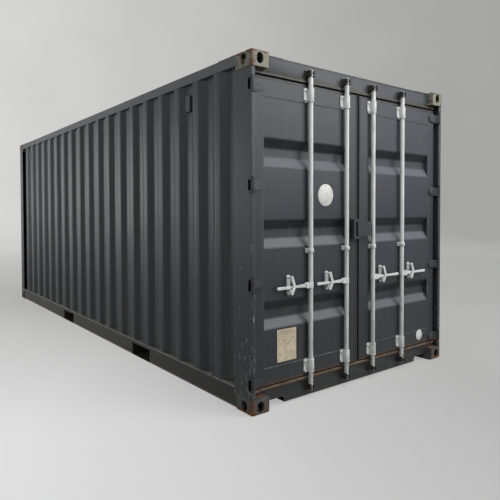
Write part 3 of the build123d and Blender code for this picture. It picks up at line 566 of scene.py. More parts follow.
@dataclass(frozen=True)
class AlkydPaint(Finish):
    """Satin alkyd enamel sprayed on primed steel, years at sea behind it.

    The eye sees a soft sheen with faint orange peel, a tone lighter towards the roof that is partly sun
    fading and partly painted light from above, settled dust with a painted highlight on slopes that look up,
    painted shade on slopes that look down and in hollows, rain streaks, dust low down, chips to primer and
    rust in them, pale scuffs where things knock against it, and dirt at seams with painted highlights on lips
    and painted shade under the roof. The fine orange peel is drawn 5 mm across, coarser than real, so that it
    shows.
    """

    colour: str
    faded_and_lit: str
    chip_level: float = 0.70
    low_wear: float = 0.0
    rust_level: float = 0.66
    sheen: float = 0.42
    edge_wear: float = 0.0
    scuffs: float = 0.0
    low_grime: float = 0.35
    bands: tuple[Band, ...] = ()

    PRIMER = "#8D8F8E"
    RUST = "#4A2C1C"
    RUST_STAIN = "#5E4433"
    DUST = "#4E4A42"
    # The pale colour is settled dust with a painted highlight on slopes that look up; the dark one is painted
    # shade.
    SETTLED_DUST_AND_HIGHLIGHT = "#7C7F84"
    PAINTED_SHADE = "#0E1012"
    CLOUD_MM = 1100.0
    CHIP_MM = 26.0
    RUST_MM = 160.0
    PEEL_MM = 5.0
    WAVE_MM = 330.0
    STREAKS = Patches(DUST, 45, 4.0, (0.56, 0.75), 0.35, stretch=(1.0, 1.0, 0.05))
    SCUFFS = Patches("#B9BCBA", 13, 3.0, (0.69, 0.74), 0.8, 0.6, stretch=(1.0, 1.0, 0.20))

    def banded(self, add: Adder, colour: Node, height: Socket, streak: Node) -> Node:
        """Lays the bands over a colour: each rises and falls softly with height, and the streaks break it up.

        Args:
            add: Adds a node to the material.
            colour: What lies below.
            height: The height above ground.
            streak: The noise of the rain streaks.

        Returns:
            The colour with its bands.
        """
        for band in self.bands:
            up = add("MapRange", height, band.low - band.softness, band.low)
            down = add("MapRange", height, band.high + band.softness, band.high)
            broken = add("MapRange", streak, 0.36, 0.54, 0.35 * band.strength, band.strength)
            both = add("Math", up, down, operation="MULTIPLY")
            amount = add("Math", both, broken, operation="MULTIPLY")
            colour = add("MixRGB", amount, colour, band.colour)
        return colour

    def paint(self, add: Adder, spot: Socket) -> Node:
        """Layers tone, painted light and shade, streaks, dust, bands, scuffs, chips and rust, and bumps to
        match.
        """
        height = add("SeparateXYZ", spot).outputs["Z"]
        cloud = add("TexNoise", Vector=spot, Scale=per_metre(self.CLOUD_MM), Detail=3.0)
        # Lighter towards the roof: partly sun fading, partly painted light from above that falls off towards
        # the ground.
        bleached_and_top_lit = add("MapRange", height, 0.3, 2.5, 0.0, 0.75)
        patchy = add("MapRange", cloud, 0.35, 0.65, -0.05, 0.25)
        tone_and_top_light = add("Math", bleached_and_top_lit, patchy, operation="ADD", use_clamp=True)
        colour = add("MixRGB", tone_and_top_light, self.colour, self.faded_and_lit)

        # Painted light from the dust value: a painted highlight with settled dust on slopes that look up,
        # painted shade on slopes that look down and in hollows.
        dust = add("Attribute", attribute_name="dust").outputs["Fac"]
        pale = add("MapRange", dust, 0.0, 1.0, 0.0, 0.4)
        colour = add("MixRGB", pale, colour, self.SETTLED_DUST_AND_HIGHLIGHT)
        dark = add("MapRange", dust, 0.0, -1.0, 0.0, 0.8)
        colour = add("MixRGB", dark, colour, self.PAINTED_SHADE)

        colour, streak, _ = self.STREAKS.over(add, spot, colour)
        low = add("MapRange", height, 0.55, 0.0, 0.0, self.low_grime)
        dusty = add("Math", low, streak, operation="MULTIPLY")
        colour = add("MixRGB", dusty, colour, self.DUST)
        colour = self.banded(add, colour, height, streak)
        if self.scuffs:
            more = add("MapRange", height, 1.7, 0.3, -0.05, self.scuffs)
            colour, _, _ = self.SCUFFS.over(add, spot, colour, more)

        chip = add("TexNoise", Vector=spot, Scale=per_metre(self.CHIP_MM), Detail=5.0, Roughness=0.65)
        worn = add("Attribute", attribute_name="wear")
        reach = add("MapRange", height, 1.5, 0.1, 0.0, self.low_wear)
        wear = add("Math", worn.outputs["Fac"], 0.12, reach, operation="MULTIPLY_ADD")
        wear = add("Math", wear, self.edge_wear, operation="ADD")
        chipped = add("Math", chip, wear, operation="ADD")
        bare = add("MapRange", chipped, self.chip_level, self.chip_level + 0.012)
        blotch = add("TexNoise", Vector=spot, Scale=per_metre(self.RUST_MM), Detail=6.0, Roughness=0.7)
        rusty = add("Math", blotch, wear, operation="ADD")
        levels = (self.rust_level, self.rust_level + 0.12)
        stain = add("MapRange", rusty, *levels, interpolation_type="SMOOTHSTEP")
        colour = add("MixRGB", stain, colour, self.RUST_STAIN)
        inside = add("MapRange", blotch, 0.44, 0.56)
        inner = add("MixRGB", inside, self.PRIMER, self.RUST)
        colour = add("MixRGB", bare, colour, inner)

        rough = add("MapRange", cloud, 0.0, 1.0, self.sheen - 0.06, self.sheen + 0.10)
        rough = add("Math", stain, 0.35, rough, operation="MULTIPLY_ADD", use_clamp=True)
        rough = add("Math", bare, 0.25, rough, operation="MULTIPLY_ADD", use_clamp=True)

        peel = add("TexNoise", Vector=spot, Scale=per_metre(self.PEEL_MM), Detail=2.0)
        wave = add("TexNoise", Vector=spot, Scale=per_metre(self.WAVE_MM), Detail=1.0)
        relief = add("Math", bare, -0.35, peel, operation="MULTIPLY_ADD")
        fine = add("Bump", Strength=0.25, Distance=0.6 * MM, Height=relief)
        bump = add("Bump", Strength=0.5, Distance=9 * MM, Height=wave, Normal=fine)
        return add("BsdfPrincipled", BaseColor=colour, Roughness=rough, SpecularIORLevel=0.28, Normal=bump)


@dataclass(frozen=True)
class CastSteel(Finish):
    """Sand-cast steel whose paint has worn off, so scale and orange rust show along every outer edge.

    The hollow inside is painted nearly black, old dirt and painted shade, so its slots look deep.
    """

    paint_left: str = "#7B7868"
    low_paint: str = "#3F4040"
    scale: str = "#504A42"
    rust: str = "#63402B"
    orange: str = "#94602F"
    hollow_shade: str = "#0D0B0A"
    outer: tuple[float, float, float] = (1.219, HALF_LENGTH, 2.591)
    size: tuple[float, float, float] = CASTING
    EDGE_MM = 36.0

    def folds(self, add: Adder, spot: Socket) -> list[tuple[Node, Node]]:
        """Distances from a place to the casting's outer and inner plane.

        Along each axis the place is folded onto one corner of the container, p = |place - middle|, so the
        outer plane lies at the outer size and the inner one at the outer size less the casting's.

        Args:
            add: Adds a node to the material.
            spot: The place on the object.

        Returns:
            The outer and the inner distance, one pair for each axis.
        """
        axes = add("SeparateXYZ", spot)
        pairs = []
        for index, middle in enumerate((0.0, 0.0, self.outer[2] / 2)):
            reach = self.outer[index] - middle
            moved = add("Math", axes.outputs[index], middle, operation="SUBTRACT")
            folded = add("Math", moved, operation="ABSOLUTE")
            outside = add("Math", reach, folded, operation="SUBTRACT")
            inside = add("Math", folded, reach - self.size[index], operation="SUBTRACT")
            pairs.append((outside, inside))
        return pairs

    def paint(self, add: Adder, spot: Socket) -> Node:
        """Mixes scale and left-over paint by patches, rusts the outer edges, more so low down, and grains it.

        Depth is the least of the six distances. Nearness to an outer edge is the sum of the outer distances
        less the largest of them, small only where two outer planes are close.
        """
        height = add("SeparateXYZ", spot).outputs["Z"]
        pairs = self.folds(add, spot)
        depth = pairs[0][0]
        for distance in (pairs[0][1], *pairs[1], *pairs[2]):
            depth = add("Math", depth, distance, operation="MINIMUM")
        total = largest = pairs[0][0]
        for outside, _ in pairs[1:]:
            total = add("Math", total, outside, operation="ADD")
            largest = add("Math", largest, outside, operation="MAXIMUM")
        beside = add("Math", total, largest, operation="SUBTRACT")
        edge = add("MapRange", beside, self.EDGE_MM * MM, 0.0, 0.0, 0.19)

        low = add("MapRange", height, 2.4, 0.2)
        patch = add("TexNoise", Vector=spot, Scale=per_metre(60), Detail=7.0, Roughness=0.7)
        held = add("Math", patch, edge, operation="SUBTRACT")
        left = add("MapRange", held, 0.40, 0.47)
        painted = add("MixRGB", low, self.paint_left, self.low_paint)
        colour = add("MixRGB", left, self.scale, painted)
        blotch = add("TexNoise", Vector=spot, Scale=per_metre(90), Detail=8.0, Roughness=0.75)
        rusty = add("Math", blotch, edge, operation="ADD")
        rusty = add("Math", low, 0.085, rusty, operation="MULTIPLY_ADD")
        stain = add("MapRange", rusty, 0.60, 0.68)
        colour = add("MixRGB", stain, colour, self.rust)
        bright = add("MapRange", rusty, 0.69, 0.76, 0.0, 0.85)
        colour = add("MixRGB", bright, colour, self.orange)
        # Painted shade with old dirt: deep inside, the casting goes nearly black.
        inside = add("MapRange", depth, 9 * MM, 16 * MM)
        colour = add("MixRGB", inside, colour, self.hollow_shade)
        rough = add("MapRange", stain, 0.0, 1.0, 0.55, 0.9)
        grain = add("TexNoise", Vector=spot, Scale=per_metre(6), Detail=6.0)
        bump = add("Bump", Strength=0.6, Distance=1.5 * MM, Height=grain)
        return add("BsdfPrincipled", BaseColor=colour, Roughness=rough, Normal=bump)


@dataclass(frozen=True)
class ZincCoatedSteel(Finish):
    """Forged and tube steel dipped in zinc and painted light grey: pale and even, with runs of grime."""

    colour: str = "#DADDDB"
    dull: Patches = Patches("#CED1CF", 90, 3.0, (0.35, 0.65))
    grime_and_low_shade: Patches = Patches("#6A6459", 26, 5.0, (0.58, 0.76), 0.55, grit=0.6, stretch=(1.0, 1.0, 0.2))
    rust: Patches = Patches("#6E4A32", 12, 4.0, (0.72, 0.76), 0.8)

    def paint(self, add: Adder, spot: Socket) -> Node:
        """Varies the grey a little, lets grime run down it and adds rust specks, more of both low down,
        partly as painted shade.
        """
        # Low down, more grime and rust show: real grime, and partly painted shade where light falls off
        # towards the ground.
        low = add("MapRange", add("SeparateXYZ", spot).outputs["Z"], 1.3, 0.1, 0.0, 0.07)
        colour, cloud, _ = self.dull.over(add, spot, self.colour)
        colour, ran, _ = self.grime_and_low_shade.over(add, spot, colour, low)
        colour, _, _ = self.rust.over(add, spot, colour, low)
        rough = add("MapRange", ran, 0.0, 1.0, 0.5, 0.7)
        bump = add("Bump", Strength=0.2, Distance=0.2 * MM, Height=cloud)
        return add("BsdfPrincipled", BaseColor=colour, Roughness=rough, SpecularIORLevel=0.3, Normal=bump)


@dataclass(frozen=True)
class ForgedSteel(Finish):
    """Hot-forged steel under thin black paint: dark scale, rounded edges and rust in the hollows."""

    colour: str = "#1D1E1F"
    rust: Patches = Patches("#3A2A20", 40, 6.0, (0.5, 0.62), grit=0.7)

    def paint(self, add: Adder, spot: Socket) -> Node:
        """Lets rust patches through the black and roughens it with scale."""
        colour, patch, rusty = self.rust.over(add, spot, self.colour)
        rough = add("MapRange", rusty, 0.0, 1.0, 0.5, 0.85)
        bump = add("Bump", Strength=0.5, Distance=0.8 * MM, Height=patch)
        return add("BsdfPrincipled", BaseColor=colour, Roughness=rough, Normal=bump)


@dataclass(frozen=True)
class SealRubber(Finish):
    """Extruded EPDM rubber: matt black with a grey bloom of chalk and dust."""

    colour: str = "#141516"
    bloom: Patches = Patches("#2E2F2F", 60, 5.0, (0.4, 0.7))

    def paint(self, add: Adder, spot: Socket) -> Node:
        """Clouds the black with bloom."""
        colour, cloud, bloom = self.bloom.over(add, spot, self.colour)
        rough = add("MapRange", bloom, 0.0, 1.0, 0.6, 0.85)
        bump = add("Bump", Strength=0.3, Distance=0.4 * MM, Height=cloud)
        return add("BsdfPrincipled", BaseColor=colour, Roughness=rough, Normal=bump)


@dataclass(frozen=True)
class HardwoodPlywood(Finish):
    """Keruing plywood floor, oiled, scuffed by pallets: red-brown with long dark grain and grey wear."""

    light: str = "#7C5A3C"
    dark: Patches = Patches("#4C3220", 7, 6.0, (0.38, 0.62), stretch=(1.0, 0.04, 1.0), distortion=0.6)
    scuff: Patches = Patches("#837565", 220, 8.0, (0.5, 0.68), 0.6, grit=0.7)

    def paint(self, add: Adder, spot: Socket) -> Node:
        """Draws grain stretched along Y and scuffs across it."""
        colour, grain, _ = self.dark.over(add, spot, self.light)
        colour, wear, _ = self.scuff.over(add, spot, colour)
        rough = add("MapRange", wear, 0.0, 1.0, 0.5, 0.8)
        bump = add("Bump", Strength=0.4, Distance=0.5 * MM, Height=grain)
        return add("BsdfPrincipled", BaseColor=colour, Roughness=rough, Normal=bump)


@dataclass(frozen=True)
class Bitumen(Finish):
    """Sprayed bitumen underseal: thick, black, matt, with drips and road dust."""

    colour: str = "#131313"
    dust: str = "#3A352D"

    def paint(self, add: Adder, spot: Socket) -> Node:
        """Dusts the black in clouds and gives it a lumpy surface."""
        colour, _, dusty = Patches(self.dust, 300, 6.0, (0.45, 0.7), grit=0.65).over(add, spot, self.colour)
        rough = add("MapRange", dusty, 0.0, 1.0, 0.55, 0.9)
        lump = add("TexNoise", Vector=spot, Scale=per_metre(18), Detail=3.0)
        bump = add("Bump", Strength=0.5, Distance=2 * MM, Height=lump)
        return add("BsdfPrincipled", BaseColor=colour, Roughness=rough, Normal=bump)


@dataclass(frozen=True)
class TarnishedPlate(Finish):
    """Thin brushed aluminium plate gone beige with salt and dust, darker where water ran off it.

    Its upper part keeps rows of smudges, all that weather has left of its print.
    """

    colour: str = "#CFC4AC"
    stain: Patches = Patches("#A99A80", 45, 7.0, (0.46, 0.68), grit=0.7)
    dark: Patches = Patches("#6A5F4E", 16, 4.0, (0.62, 0.78), 0.5, stretch=(1.0, 1.0, 0.2))
    smudge: str = "#6F6350"
    printed: tuple[float, float] = (0.455, 0.562)
    ROW_MM = 17.0
    MARK_MM = 11.0

    def smudged(self, add: Adder, colour: Node, spot: Socket) -> Node:
        """Draws broken rows over a colour: a sine of the height, kept where it and a noise are high.

        Args:
            add: Adds a node to the material.
            colour: What lies below.
            spot: The place on the object.

        Returns:
            The colour with its rows.
        """
        height = add("SeparateXYZ", spot).outputs["Z"]
        phase = add("Math", height, 2 * np.pi * per_metre(self.ROW_MM), operation="MULTIPLY")
        wave = add("Math", phase, operation="SINE")
        row = add("MapRange", wave, 0.1, 0.6)
        mark = add("TexNoise", Vector=spot, Scale=per_metre(self.MARK_MM), Detail=3.0)
        shown = add("MapRange", mark, 0.44, 0.56, 0.0, 0.75)
        above = add("Math", height, self.printed[0], operation="GREATER_THAN")
        below = add("Math", height, self.printed[1], operation="LESS_THAN")
        amount = add("Math", row, shown, operation="MULTIPLY")
        amount = add("Math", amount, above, operation="MULTIPLY")
        amount = add("Math", amount, below, operation="MULTIPLY")
        return add("MixRGB", amount, colour, self.smudge)

    def paint(self, add: Adder, spot: Socket) -> Node:
        """Blots the plate, runs stains down it and smudges it in rows."""
        colour, blot, _ = self.stain.over(add, spot, self.colour)
        colour, _, _ = self.dark.over(add, spot, colour)
        colour = self.smudged(add, colour, spot)
        rough = add("MapRange", blot, 0.0, 1.0, 0.45, 0.75)
        bump = add("Bump", Strength=0.3, Distance=0.4 * MM, Height=blot)
        return add("BsdfPrincipled", BaseColor=colour, Roughness=rough, Normal=bump)


@dataclass(frozen=True)
class StickerFilm(Finish):
    """Blank white vinyl film stuck on paint: smooth, faintly yellowed, with dirt along it."""

    colour: str = "#D6D7D3"
    dirt: Patches = Patches("#9C9990", 35, 5.0, (0.5, 0.75), 0.6)

    def paint(self, add: Adder, spot: Socket) -> Node:
        """Greys the film in clouds."""
        colour, cloud, _ = self.dirt.over(add, spot, self.colour)
        rough = add("MapRange", cloud, 0.0, 1.0, 0.35, 0.55)
        return add("BsdfPrincipled", BaseColor=colour, Roughness=rough)


@dataclass(frozen=True)
class StudioPaper(Finish):
    """Matt photo paper, pale and softly mottled, brighter to the left and in front.

    What looks at it straight or in a reflection sees it glow a little, so that it has no horizon. Light that
    bounces off it is that of a dark yard, which keeps the underside of every fold as dark as on a real one.
    """

    far_left: str = "#D7D7D5"
    far_right: str = "#A6A6A4"
    near_left: str = "#E6E6E6"
    near_right: str = "#B2B2B2"
    bounce: str = "#3A3A39"
    lit_share: float = 0.30
    to_right: tuple[float, float, float] = (0.807, -0.590, 0.0)
    away: tuple[float, float, float] = (0.590, 0.807, 0.0)

    def paint(self, add: Adder, spot: Socket) -> Node:
        """Mixes what lamps light with an even glow, which takes over away from the object."""
        graded = self.graded(add, spot)
        rays = add("LightPath")
        seen = add("Math", rays.outputs["Is Camera Ray"], rays.outputs["Is Glossy Ray"], operation="ADD")
        seen = add("Math", seen, rays.outputs["Is Transmission Ray"], operation="ADD", use_clamp=True)
        apart = add("VectorMath", spot, operation="LENGTH").outputs["Value"]
        lit = add("MapRange", apart, 4.5, 13.0, self.lit_share, 0.0)
        pale = add("MixRGB", lit, "#000000", graded)
        base = add("MixRGB", seen, self.bounce, pale)
        glow = add("Math", 1.0, lit, operation="SUBTRACT")
        glow = add("Math", glow, seen, operation="MULTIPLY")
        matt = {"Roughness": 1.0, "SpecularIORLevel": 0.0}
        return add("BsdfPrincipled", BaseColor=base, EmissionColor=graded, EmissionStrength=glow, **matt)

    def graded(self, add: Adder, spot: Socket) -> Node:
        """The paper's own colour: one gradient to the right near the camera, another far off, and a mottle.

        Args:
            add: Adds a node to the material.
            spot: The place in the room.

        Returns:
            The colour.
        """
        side = add("VectorMath", spot, self.to_right, operation="DOT_PRODUCT").outputs["Value"]
        depth = add("VectorMath", spot, self.away, operation="DOT_PRODUCT").outputs["Value"]
        across_near = add("MapRange", side, -0.8, 2.8)
        across_far = add("MapRange", side, -15.0, 15.0)
        near = add("MixRGB", across_near, self.near_left, self.near_right)
        far = add("MixRGB", across_far, self.far_left, self.far_right)
        beyond = add("MapRange", depth, -4.6, 3.0, interpolation_type="SMOOTHSTEP")
        even = add("MixRGB", beyond, near, far)
        cloud = add("TexNoise", Vector=spot, Scale=per_metre(5200), Detail=3.0)
        mottle = add("MapRange", cloud, 0.3, 0.7, 0.97, 1.03)
        return add("VectorMath", even, mottle, operation="MULTIPLY")


ANTHRACITE = "#2B2F33"
# The lighter paint that higher parts mix towards: sun fading and painted light from above.
ANTHRACITE_FADED_AND_LIT = "#3F434A"
SILT = "#3A372D"
SEAM_RUST = "#5F4130"
# Dust and a painted highlight along the edge of a lip.
LIP_DUST_AND_HIGHLIGHT = "#786A57"
# A painted highlight on a rail's top face.
RAIL_TOP_HIGHLIGHT = "#8B8B80"
ROAD_DIRT = "#211F1D"
ROOF_SHADE = "#1A1B1C"
LEAF_GRIME = "#22211C"


def finishes() -> dict[str, Finish]:
    """Every finish of the object.

    Returns:
        The finishes by the record's material slot, or by a name of their own.
    """
    paint = (ANTHRACITE, ANTHRACITE_FADED_AND_LIT)
    # Frame bands: road dirt, rust, dust and a painted highlight on the sill lip's top, silt, and painted
    # shade under the roof.
    seams = (
        Band(0.0, 0.135, ROAD_DIRT, 0.45, 0.03),
        Band(0.146, 0.157, SEAM_RUST, 0.95, 0.004),
        Band(0.160, 0.172, LIP_DUST_AND_HIGHLIGHT, 0.95, 0.003),
        Band(2.441, 2.480, SILT, 1.0, 0.005),
        Band(2.571, 2.600, ROOF_SHADE, 0.95, 0.003),
    )
    leaf = (Band(0.176, 0.190, SEAM_RUST, 0.8), Band(2.408, 2.430, LEAF_GRIME, 0.9, 0.004))
    # Low rail bands: road dirt, a painted highlight on the top face, and dust with a painted highlight on the
    # bottom lip.
    low_rail = (
        Band(0.0, 0.150, ROAD_DIRT, 0.75, 0.012),
        Band(0.160, 0.180, RAIL_TOP_HIGHLIGHT, 1.0, 0.005),
        Band(0.010, 0.028, LIP_DUST_AND_HIGHLIGHT, 0.7, 0.005),
    )
    return {
        "castings": CastSteel("cast_steel_worn_paint"),
        "frame_paint": AlkydPaint("alkyd_paint_frame", *paint, 0.745, low_wear=0.06, bands=seams),
        "post_paint": AlkydPaint("alkyd_paint_posts", "#303437", "#484C51", 0.735, 0.085, scuffs=0.07),
        # Paler chalked paint for the top rails; on the panel and post welds it is a painted highlight along
        # the seam.
        "top_rail": AlkydPaint("alkyd_paint_chalked_rails", "#4C5053", "#64686B", 0.72, sheen=0.5),
        "low_rail": AlkydPaint("alkyd_paint_low_rails", "#1A1C1E", "#272A2D", 0.74, bands=low_rail),
        "wall_paint": AlkydPaint("alkyd_paint_walls", "#2C3034", "#373B40", 0.80, rust_level=0.74),
        "roof_paint": AlkydPaint("alkyd_paint_roof", "#3B3E42", "#4A4D51", 0.74, rust_level=0.6),
        "door_paint": AlkydPaint("alkyd_paint_doors", *paint, 0.78, bands=leaf),
        "worn_edge": AlkydPaint("alkyd_paint_worn_edge", *paint, 0.62, edge_wear=0.04, bands=seams),
        # Pale paint for the hinges' eased edges: rubbed paint and a painted highlight along the edge.
        "rubbed_edge": AlkydPaint("alkyd_paint_rubbed_edge", "#7B7F83", "#A9ADB0", 0.58),
        "rusty_edge": AlkydPaint(
            "alkyd_paint_rusty_edge", *paint, 0.56, rust_level=0.52, edge_wear=0.04, bands=seams
        ),
        "underside_coating": Bitumen("bitumen_underseal"),
        "plywood": HardwoodPlywood("keruing_plywood_floor"),
        "keeper_steel": ForgedSteel("forged_steel_black"),
        "seal_rubber": SealRubber("epdm_seal_rubber"),
        "galvanised_steel": ZincCoatedSteel("zinc_coated_painted_steel"),
        "aged_plate": TarnishedPlate("tarnished_aluminium_plate"),
        "mastic": Bitumen("mastic_sealant", colour="#23231C", dust="#3E3B2E"),
        "sticker": StickerFilm("blank_vinyl_film"),
    }


# Putting shapes and frame parts into the scene


def settle(mesh: bpy.types.Mesh, flatten: bool = False) -> None:
    """Merges points that lie on each other, and turns every face outwards.

    Args:
        mesh: The mesh to clean.
        flatten: Whether triangles that lie in one plane become one face, as a bevel needs.
    """
    work = bmesh.new()
    work.from_mesh(mesh)
    bmesh.ops.remove_doubles(work, verts=work.verts, dist=0.01 * MM)
    if flatten:
        bmesh.ops.dissolve_limit(work, angle_limit=np.radians(0.4), verts=work.verts, edges=work.edges)
    bmesh.ops.recalc_face_normals(work, faces=work.faces)
    work.to_mesh(mesh)
    work.free()


@dataclass
class Workshop:
    """Dresses pieces: it knows each frame part's slot and body, and keeps the finishes."""

    frame: dict
    paints: dict[str, Finish] = field(default_factory=finishes)
    slots: dict[str, str] = field(init=False)

    EDGE_ANGLE = np.radians(30)

    def __post_init__(self) -> None:
        """Reads which slot each frame part takes its finish from."""
        self.slots = {part["node"]: part["material_slot"] for part in self.frame["record"]["subparts"]}

    def new_piece(
        self,
        name: str,
        shape: Shape,
        body: str,
        slot: str,
        finish: str | None = None,
        stands_for: tuple[str, ...] = (),
        sharp: float = 35.0,
    ) -> bpy.types.Object:
        """Makes a shape a piece of the object.

        Args:
            name: The piece's name.
            shape: Its points and faces.
            body: The body that it moves with.
            slot: The record's material slot.
            finish: The finish, where it isn't the slot's own.
            stands_for: The frame parts that it replaces.
            sharp: The angle in degrees from which an edge is drawn sharp.

        Returns:
            The finished object.
        """
        mesh = bpy.data.meshes.new(name)
        mesh.from_pydata(shape.points.tolist(), [], shape.faces.tolist())
        for mark, values in (("wear", shape.wear), ("dust", shape.dust)):
            if values is not None:
                data = mesh.attributes.new(mark, "FLOAT", "POINT").data
                data.foreach_set("value", values.astype(np.float32))
        settle(mesh)
        mesh.shade_smooth()
        mesh.set_sharp_from_angle(angle=np.radians(sharp))
        mesh.materials.append(self.paints[finish or slot].made())
        thing = placed(name, mesh)
        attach(thing, body)
        if stands_for:
            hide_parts(*stands_for)
        log.info("%s: %d faces, moves with %s", name, len(mesh.polygons), body)
        return thing

    @staticmethod
    def cut(mesh: bpy.types.Mesh, cutter: Shape) -> bpy.types.Mesh:
        """A mesh less a shape, worked out by a boolean on two objects that are gone afterwards.

        Args:
            mesh: What is cut. It is used up.
            cutter: What is taken away.

        Returns:
            The cut mesh.
        """
        tool = bpy.data.meshes.new("cutter")
        tool.from_pydata(cutter.points.tolist(), [], cutter.faces.tolist())
        settle(tool)
        whole = placed("cut_part", mesh)
        boolean = whole.modifiers.new("cut", "BOOLEAN")
        boolean.operation, boolean.solver, boolean.object = "DIFFERENCE", "EXACT", placed("cutter", tool)
        result = bpy.data.meshes.new_from_object(whole.evaluated_get(bpy.context.evaluated_depsgraph_get()))
        for data in (mesh, tool):
            bpy.data.meshes.remove(data)
        return result

    def eased(
        self,
        node: str,
        width: float,
        worn: str | None = None,
        finish: str | None = None,
        cutter: Shape | None = None,
    ) -> bpy.types.Object:
        """Replaces a frame part by its own shape with eased edges, as rolled and pressed steel has.

        Args:
            node: The frame part.
            width: How wide the eased edge is.
            worn: The finish of the eased edges, where it differs.
            finish: The finish of the rest, where it isn't the slot's own.
            cutter: What is cut away from it first.

        Returns:
            The finished object.
        """
        source = self.frame["nodes"][node]
        mesh = source.data.copy()
        settle(mesh, flatten=True)
        if cutter is not None:
            mesh = self.cut(mesh, cutter)
            settle(mesh, flatten=True)
        mesh.name = node + "_eased"
        mesh.materials.clear()
        mesh.materials.append(self.paints[finish or self.slots[node]].made())
        mesh.shade_smooth()
        mesh.set_sharp_from_angle(angle=self.EDGE_ANGLE)
        thing = placed(mesh.name, mesh)
        bevel = thing.modifiers.new("eased_edges", "BEVEL")
        bevel.width, bevel.segments = width, 2
        bevel.limit_method, bevel.angle_limit = "ANGLE", self.EDGE_ANGLE
        bevel.harden_normals = True
        if worn:
            mesh.materials.append(self.paints[worn].made())
            bevel.material = 1
        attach(thing, source["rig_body"])
        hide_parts(node)
        log.info("%s: eased by %.1f mm", node, width / MM)
        return thing

    def as_is(self, node: str) -> None:
        """Gives a frame part that needs no new shape its finish.

        Args:
            node: The frame part.
        """
        mesh = self.frame["nodes"][node].data
        mesh.materials.clear()
        mesh.materials.append(self.paints[self.slots[node]].made())


def hex_bolt(facing: Facing, flats: float = 17 * MM, height: float = 7 * MM) -> Shape:
    """A hexagon head on a washer. Both are turned outlines, the head with six sides.

    Args:
        facing: Which way the head looks.
        flats: The size across two flats.
        height: How high the head stands on its washer.

    Returns:
        The bolt head with its seat at the origin.
    """
    corner, washer, sheet = flats / np.sqrt(3), 0.62 * flats, 2 * MM
    disc = [(0, 0), (washer, 0), (washer, 0.7 * sheet), (washer - 0.5 * MM, sheet), (0, sheet)]
    head = [(0, 0), (corner, 0), (corner, 0.8 * height), (0.86 * corner, height), (0, height)]
    head = np.array(head) + (0, sheet)
    return joined([turned(np.array(disc), 18, facing), turned(head, 6, facing)])


def dome_rivet(facing: Facing, radius: float, height: float) -> Shape:
    """A round-headed rivet: its outline is (radius cos t, height sin t) for t from 0 to a quarter turn.

    Args:
        facing: Which way the head looks.
        radius: The head's radius.
        height: How high it stands.

    Returns:
        The rivet head with its seat at the origin.
    """
    t = np.linspace(0, np.pi / 2, 5)
    outline = np.stack((radius * np.cos(t), height * np.sin(t)), axis=1)
    outline[-1, 0] = 0.0
    return turned(np.vstack(((0, 0), outline)), 14, facing)


def weld_bead(path: np.ndarray, beside: np.ndarray, radius: float = 3.2 * MM, step: float = 6 * MM) -> Shape:
    """A weld bead: a bar whose radius swells and shrinks by a seventh, once in every four steps of its path.

    Args:
        path: The line that it follows.
        beside: A direction that no stretch of the path runs along.
        radius: Its mean radius.
        step: The length of one step.

    Returns:
        The closed bead.
    """
    even = resampled(path, step)
    swell = 1 + np.sin(np.arange(len(even)) * np.pi / 2) / 7
    return tube(even, radius * swell, 6, beside)


# The walls and the roof

# How worn the five points of a rounded fold are, from one flat to the next
FOLD_WEAR = (0.0, 0.5, 1.0, 0.5, 0.0)


